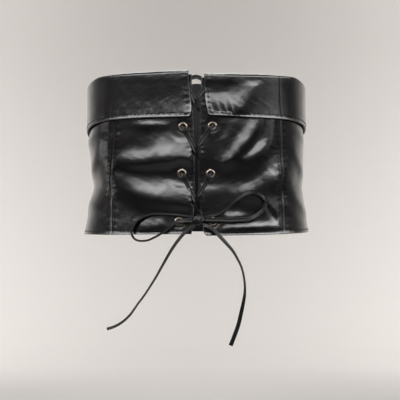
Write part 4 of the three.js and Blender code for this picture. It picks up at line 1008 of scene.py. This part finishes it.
def cuff_place(side, part, u, s, off):
    """A point of a cuff piece. u counts along it and s down its section: a foot of 1 mm, a half circle of 8
    over the top and a drop of 50, all as shares of the true lengths, and off leads out of its outer side.
    The folds fade towards the top and, on a side piece, away from the seam."""
    share = u / CUFF_WIDTH[part]
    column = cuff_turn(side, part, share, CUFF_MIDDLE_HEIGHT)
    fold, hem = stand_off(column)
    radius, centre, low = fold / 2, fold_centre(column), line_height(CUFF_LINE, column)
    angle = np.pi * (1 - np.clip((s - CUFF_FOOT) / CUFF_ARC, 0, 1))
    down = np.clip((s - CUFF_FOOT - CUFF_ARC) / (CUFF_LENGTH - CUFF_FOOT - CUFF_ARC), 0, 1)
    foot = np.minimum(s - CUFF_FOOT, 0)
    out = radius + (radius + off) * np.cos(angle) + (hem - fold) * down
    height = centre + (radius + off) * np.sin(angle) + foot + (low - centre) * down
    turn = cuff_turn(side, part, share, height)
    drop = CUFF_FOOT + CUFF_ARC
    kept = 1 - ease(height, centre - CUFF_FADE_LOW, centre - CUFF_FADE_HIGH)
    kept = kept * ease(s, drop, drop + DROP_FADE)
    kept = kept * (1 - ease(share, 0, SIDE_FADE) if part == "side" else 1)
    folds = fold_height(CUFF_FOLDS, wall_point(turn, height, 0)[..., 0], height) * kept
    return wall_point(turn, height, out + folds)


def cuff_rest(part, u, s):
    """The share of the thickness left beside the four edges of a cuff piece."""
    first = PANEL_HALF if part == "front" else SEAM_ROUNDING
    beside = (u, first), (CUFF_WIDTH[part] - u, SEAM_ROUNDING)
    return rim_share(*beside, (CUFF_LENGTH - s, CUFF_HEM_HALF), (s, PANEL_HALF))


def cuff_relief(side, part, u, s):
    """Relief of a cuff's outer face: rolled and stitched edges, a seam that dips in a bell, and puckers in
    the right one's first 42 mm, where the lower stitches are drawn tightest. They are |sin|^0.8 of a
    wavering count and deepest 7 mm above the edge."""
    seam = -SEAM_DIP * bell(u, 0, SEAM_DIP_SPREAD)
    end = turned_edge(u, s, CUFF_STITCH, 0.15) if part == "front" else seam
    far = -SEAM_DIP * bell(CUFF_WIDTH[part] - u, 0, SEAM_DIP_SPREAD)
    up = CUFF_LENGTH - s
    drawn = bell(up, 7, 9) * ease(up, 3.5, 6) * ease(u, 5, 8) * (1 - ease(u, 30, 42))
    count = (u + 2.5 + 0.6 * np.sin(u / 4) + 0.1 * up) / PUCKERS_PITCH
    puckers = PUCKERS_DEEP * drawn * np.abs(np.sin(np.pi * count)) ** 0.8
    puckers = puckers if side > 0 and part == "front" else 0
    relief = end + far + turned_edge(up, u, CUFF_STITCH, 0.25) + crumple(u + 57, s) - puckers
    return relief * cuff_rest(part, u, s)


for side, name in ((-1, "left"), (1, "right")):
    for part, width in CUFF_WIDTH.items():
        u, s = np.broadcast_arrays(
            spaced(width, CUFF_STEP, EDGE_STEPS, EDGE_STEPS if part == "side" else (*TOP_STEPS, 1.6))[None],
            spaced(CUFF_LENGTH, CUFF_DROP_STEP, TOP_STEPS, EDGE_STEPS)[:, None],
        )
        half = PANEL_HALF + (CUFF_HEM_HALF - PANEL_HALF) * ease(s, TURNING_STARTS, TURNING_FULL)
        rest = cuff_rest(part, u, s)
        front = cuff_place(side, part, u, s, half * rest + cuff_relief(side, part, u, s))
        back = cuff_place(side, part, u, s, -half * rest)
        to_edge = np.minimum(CUFF_LENGTH - s, u if part == "front" else CUFF_LENGTH)
        flat, rim = np.stack([u, s], -1) / 1000, np.exp(-to_edge / RIM_REACH)
        face = lambda u, s, out: cuff_place(side, part, u, s, cuff_relief(side, part, u, s) + out)
        hem_face = lambda u, s, out: face(u, s, CUFF_HEM_HALF + out)
        end_face = lambda u, s, out: face(u, s, PANEL_HALF + out)
        full = np.linspace(STITCHES_START, width - STITCHES_START, 300)
        lines = [stitch_line(hem_face, full, CUFF_LENGTH - CUFF_STITCH)]
        if part == "front":
            tall = np.linspace(END_STITCHES_TOP, END_STITCHES_FOOT, 150)
            lines.append(stitch_line(end_face, CUFF_STITCH, tall))
        add_leather(
            f"cuff_{{}}_{part}_{name}", f"cuff_{part}_{name}", (front, back, flat, rim), side > 0, lines,
        )

# The back is one wide knitted elastic. Rubber threads run along it, and upright ribs of yarn stand out
# between them. A dense woven edge finishes it above and below, and its ends are sewn down flat.
ELASTIC_HALF, ELASTIC_WIDTH, ELASTIC_HEIGHT = 0.8, 330, 188
RIB_PITCH, RIB_HEIGHT, RIB_STEP, ALONG_STEP, WOVEN_EDGE = 4.0, 0.9, 0.5, 5.5, 7.0
WOVEN_PROUD, SEWN_DEEP, INSIDE_RIBS = 0.25, 0.25, 0.5
END_STEPS = (0.2, 0.5, 0.8, 1.5, 2.5, 3.4, 4.0, 4.6, 5.5, 6.5)
WOVEN_STEPS = (0.2, 0.5, 0.8, 2, 4, 5.5, 6.2, 7, 8, 9)


def back_place(u, v, out):
    """A point of the elastic. u counts round the back from the left side panel to the right one."""
    edge = ELASTIC_TURN - SEAM_LAP / read_table(WALL_BY_HEIGHT, 0)[3]
    turn = -edge - (2 * np.pi - 2 * edge) * u / ELASTIC_WIDTH
    signed = np.where(turn < -np.pi, turn + 2 * np.pi, turn)
    hem, top = line_height(HEM_LINE, signed), line_height(TOP_LINE, signed)
    return wall_point(turn, hem + (top - hem) * v / ELASTIC_HEIGHT, out)


def rib_relief(u, v):
    """Ribs are round-topped: their height times |sin| of half a turn a pitch. They end at the woven edges,
    which stand proud, and at the sewn ends, where the stitches sink a groove in a bell."""
    to_edge = np.minimum(v, ELASTIC_HEIGHT - v)
    to_end = np.minimum(u, ELASTIC_WIDTH - u)
    ribbed = ease(to_edge, WOVEN_EDGE - 1, WOVEN_EDGE + 2) * ease(to_end, 7, 9)
    rib = RIB_HEIGHT * np.abs(np.sin(np.pi * u / RIB_PITCH)) * ribbed
    woven = WOVEN_PROUD * (1 - ease(to_edge, WOVEN_EDGE - 1.5, WOVEN_EDGE))
    sewn = SEWN_DEEP * bell(to_end, SEAM_STITCH, 0.6)
    return rib + woven - sewn


def elastic_material(name, level):
    """Matt knit of a grey level: rows across times yarn along raise it and make it paler, under a fuzz."""
    material, node, shade = new_material(name)
    place = node("UVMap", uv_map="flat").outputs[0]
    rows = node("TexWave", {
        "Vector": place, "Scale": 190.0, "Distortion": 0.8, "Detail": 2.0, "Detail Scale": 3.0,
    }, bands_direction="Y").outputs["Fac"]
    yarn = node("TexWave", {
        "Vector": place, "Scale": 620.0, "Distortion": 1.5, "Detail": 2.0,
    }, bands_direction="X").outputs["Fac"]
    knit = node("Math", {0: rows, 1: yarn}, operation="MULTIPLY").outputs[0]
    shade(
        Base_Color=ramp_between(node, knit, 0.05, 0.7, grey(0.25 * level), grey(level)), Roughness=0.82,
        Sheen_Weight=12 * level, Sheen_Roughness=0.45, Specular_IOR_Level=0.3,
        Normal=bumps(node, (knit, 0.6, 0.0005), (noise(node, place, 2200.0, 4.0), 0.3, 0.0002)),
    )
    return material


u, v = np.broadcast_arrays(
    spaced(ELASTIC_WIDTH, RIB_STEP, END_STEPS, END_STEPS)[None],
    spaced(ELASTIC_HEIGHT, ALONG_STEP, WOVEN_STEPS, WOVEN_STEPS)[:, None],
)
rest = rim_share(
    (u, SEAM_ROUNDING), (ELASTIC_WIDTH - u, SEAM_ROUNDING),
    (v, ELASTIC_HALF), (ELASTIC_HEIGHT - v, ELASTIC_HALF),
)
ribs = rib_relief(u, v) * rest
front = back_place(u, v, ELASTIC_HALF * rest + ribs)
back = back_place(u, v, -ELASTIC_HALF * rest - INSIDE_RIBS * ribs)
# The inside is the same knit with its grey cut to an eighth: painted shade, so that the gap between the
# panels looks dark.
ELASTIC, ELASTIC_INSIDE_PAINTED_SHADE = elastic_material("ribbed_elastic", 0.024), elastic_material("elastic_inside_painted_shade", 0.003)
elastic = add_shell(
    "elastic_ribs", front[:, ::-1], back[:, ::-1], [ELASTIC, ELASTIC_INSIDE_PAINTED_SHADE],
    np.stack([u, v], -1)[:, ::-1] / 1000, np.zeros(u.shape),
)
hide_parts("back_elastic")
surface = lambda u, v, out: back_place(u, v, ELASTIC_HALF + rib_relief(u, v) + out)
tall = np.linspace(STITCHES_START, ELASTIC_HEIGHT - STITCHES_START, 400)
stitches = add_stitches("elastic_stitches", [
    stitch_line(surface, SEAM_STITCH, tall), stitch_line(surface, ELASTIC_WIDTH - SEAM_STITCH, tall),
])

# The studio is a pale bowl of floor and wall, with painted shade that darkens it towards the floor and the
# front.
# Nine soft lights on an arc in front, one above and one behind light the belt, seven lights on the wall and
# floor make what the glossy leather mirrors, and two faint cards lift its sides.
# The darker paper colour is painted shade for the floor in front of the belt.
PAPER_PAINTED_SHADE, PAPER_PALE = (0.24, 0.231, 0.224, 1), (0.53, 0.508, 0.488, 1)
SOFTBOXES = [  # turn from the front in degrees, power
    (-88, 0.5), (-66, 2.3), (-44, 3.4), (-22, 3.6), (0, 2.8), (22, 2.8), (44, 3.5), (66, 3.3), (88, 1.8),
]
SOFTBOX_REACH, SOFTBOX_HEIGHT, SOFTBOX_SIZE, SOFTBOX_SPREAD = 2.35, 1.05, (0.88, 0.75), 70
LIGHTS = [  # name, place, target, size, power, spread in degrees
    ("softbox_top", (0, -0.9, 2.0), (0, 0, 0), (1.3, 0.35), 3, 40),
    ("softbox_back", (0, 2.0, 1.5), (0, 0, 0), (2.2, 0.9), 5, 50),
    ("front_wall_light", (0, -1.2, 2.6), (0, -3.2, 1.2), (2.0, 0.5), 6, 80),
    ("wall_light", (0, 1.2, 2.4), (0, 3.0, 0.8), (2.0, 0.6), 12, 105),
    ("wall_light_left", (-0.9, 1.2, 2.4), (-2.1, 2.55, 0.2), (1.2, 0.5), 33, 86),
    ("wall_light_right", (0.9, 1.2, 2.4), (2.1, 2.55, 0.2), (1.2, 0.5), 33, 86),
    ("wall_light_front_right", (1.3, -0.6, 2.4), (2.9, -1.7, 1.2), (1.2, 0.5), 16, 80),
    ("wall_light_front_left", (-1.3, -0.6, 2.4), (-2.9, -1.7, 1.2), (1.2, 0.5), 8, 80),
    ("floor_light_back", (0, 1.5, 2.4), (0, 1.4, -0.42), (2.6, 0.6), 14, 84),
    ("side_card_left", (-2.58, 0.3, -0.11), (0, 0, 0), (0.56, 0.5), 0.28, 70),
    ("side_card_right", (2.46, -0.96, 0.25), (0, 0, 0), (0.75, 0.7), 0.26, 70),
]
bpy.context.scene.view_settings.view_transform = "Standard"


def studio_bowl():
    """A surface of revolution: a flat floor that turns up through a quarter circle into a wall."""
    floor, radius, corner, top = -0.42, 3.2, 0.9, 2.8
    bend = np.linspace(0, np.pi / 2, 16)
    r = np.concatenate([[0, 1.0, 2.0], radius - corner + corner * np.sin(bend), [radius]])
    z = np.concatenate([[floor] * 3, floor + corner - corner * np.cos(bend), [top]])
    q = np.linspace(0, 2 * np.pi, 97)[:-1]
    rings = np.broadcast_arrays(r[:, None] * np.cos(q), r[:, None] * np.sin(q), z[:, None])
    points = np.stack(rings, -1) * 1000
    index = np.arange(points[..., 0].size).reshape(points.shape[:2])
    quads = grid_quads(np.column_stack([index, index[:, :1]])).reshape(-1, 4)[:, ::-1]
    bowl = add_piece("studio_floor", points.reshape(-1, 3), quads, [paper_with_painted_shade()])
    bowl.parent = None


def paper_with_painted_shade():
    """Paper that grows paler with height plus 0.35 of the distance behind the belt, and a faint mottle. The
    darkening of the floor in front is painted shade.
    """
    material, node, shade = new_material("paper_with_painted_shade")
    place = node("TexCoord").outputs["Object"]
    split = node("SeparateXYZ", {"Vector": place})
    behind = node("Math", {0: split.outputs["Y"], 1: 0.0}, operation="MAXIMUM").outputs[0]
    # Painted shade: the paper is darker low down and in front of the belt.
    painted_shade_tone = node("Math", {0: behind, 1: 0.35, 2: split.outputs["Z"]}, operation="MULTIPLY_ADD").outputs[0]
    mottle = noise(node, place, 1.5, 2.0)
    mottle_and_painted_shade = node("Math", {0: mottle, 1: 0.15, 2: painted_shade_tone}, operation="MULTIPLY_ADD").outputs[0]
    shade(Base_Color=ramp_between(node, mottle_and_painted_shade, -0.35, 0.35, PAPER_PAINTED_SHADE, PAPER_PALE), Roughness=0.9)
    return material


def add_light(name, place, target, size, power, spread):
    """A flat light that faces its target: tipped by the atan of the level distance over the drop, and turned
    to the bearing of the target."""
    light = bpy.data.lights.new(name, "AREA")
    light.shape = "RECTANGLE"
    light.spread = math.radians(spread)
    light.size, light.size_y = size
    light.energy = power
    lamp = bpy.data.objects.new(name, light)
    lamp.location = place
    aim = np.array(target) - np.array(place)
    tip = math.atan2(math.hypot(aim[0], aim[1]), -aim[2])
    lamp.rotation_euler = (tip, 0, math.atan2(aim[1], aim[0]) - math.pi / 2)
    bpy.context.scene.collection.objects.link(lamp)


studio_bowl()
for number, (degrees, power) in enumerate(SOFTBOXES):
    angle = math.radians(degrees)
    place = (SOFTBOX_REACH * math.sin(angle), -SOFTBOX_REACH * math.cos(angle), SOFTBOX_HEIGHT)
    add_light(f"softbox_{number}", place, (0, 0, 0), SOFTBOX_SIZE, power, SOFTBOX_SPREAD)
for light in LIGHTS:
    add_light(*light)
world = bpy.data.worlds.new("studio")
world.use_nodes = True
world.node_tree.nodes["Background"].inputs[0].default_value = (0.9, 0.9, 0.92, 1)
world.node_tree.nodes["Background"].inputs[1].default_value = 0.03
bpy.context.scene.world = world
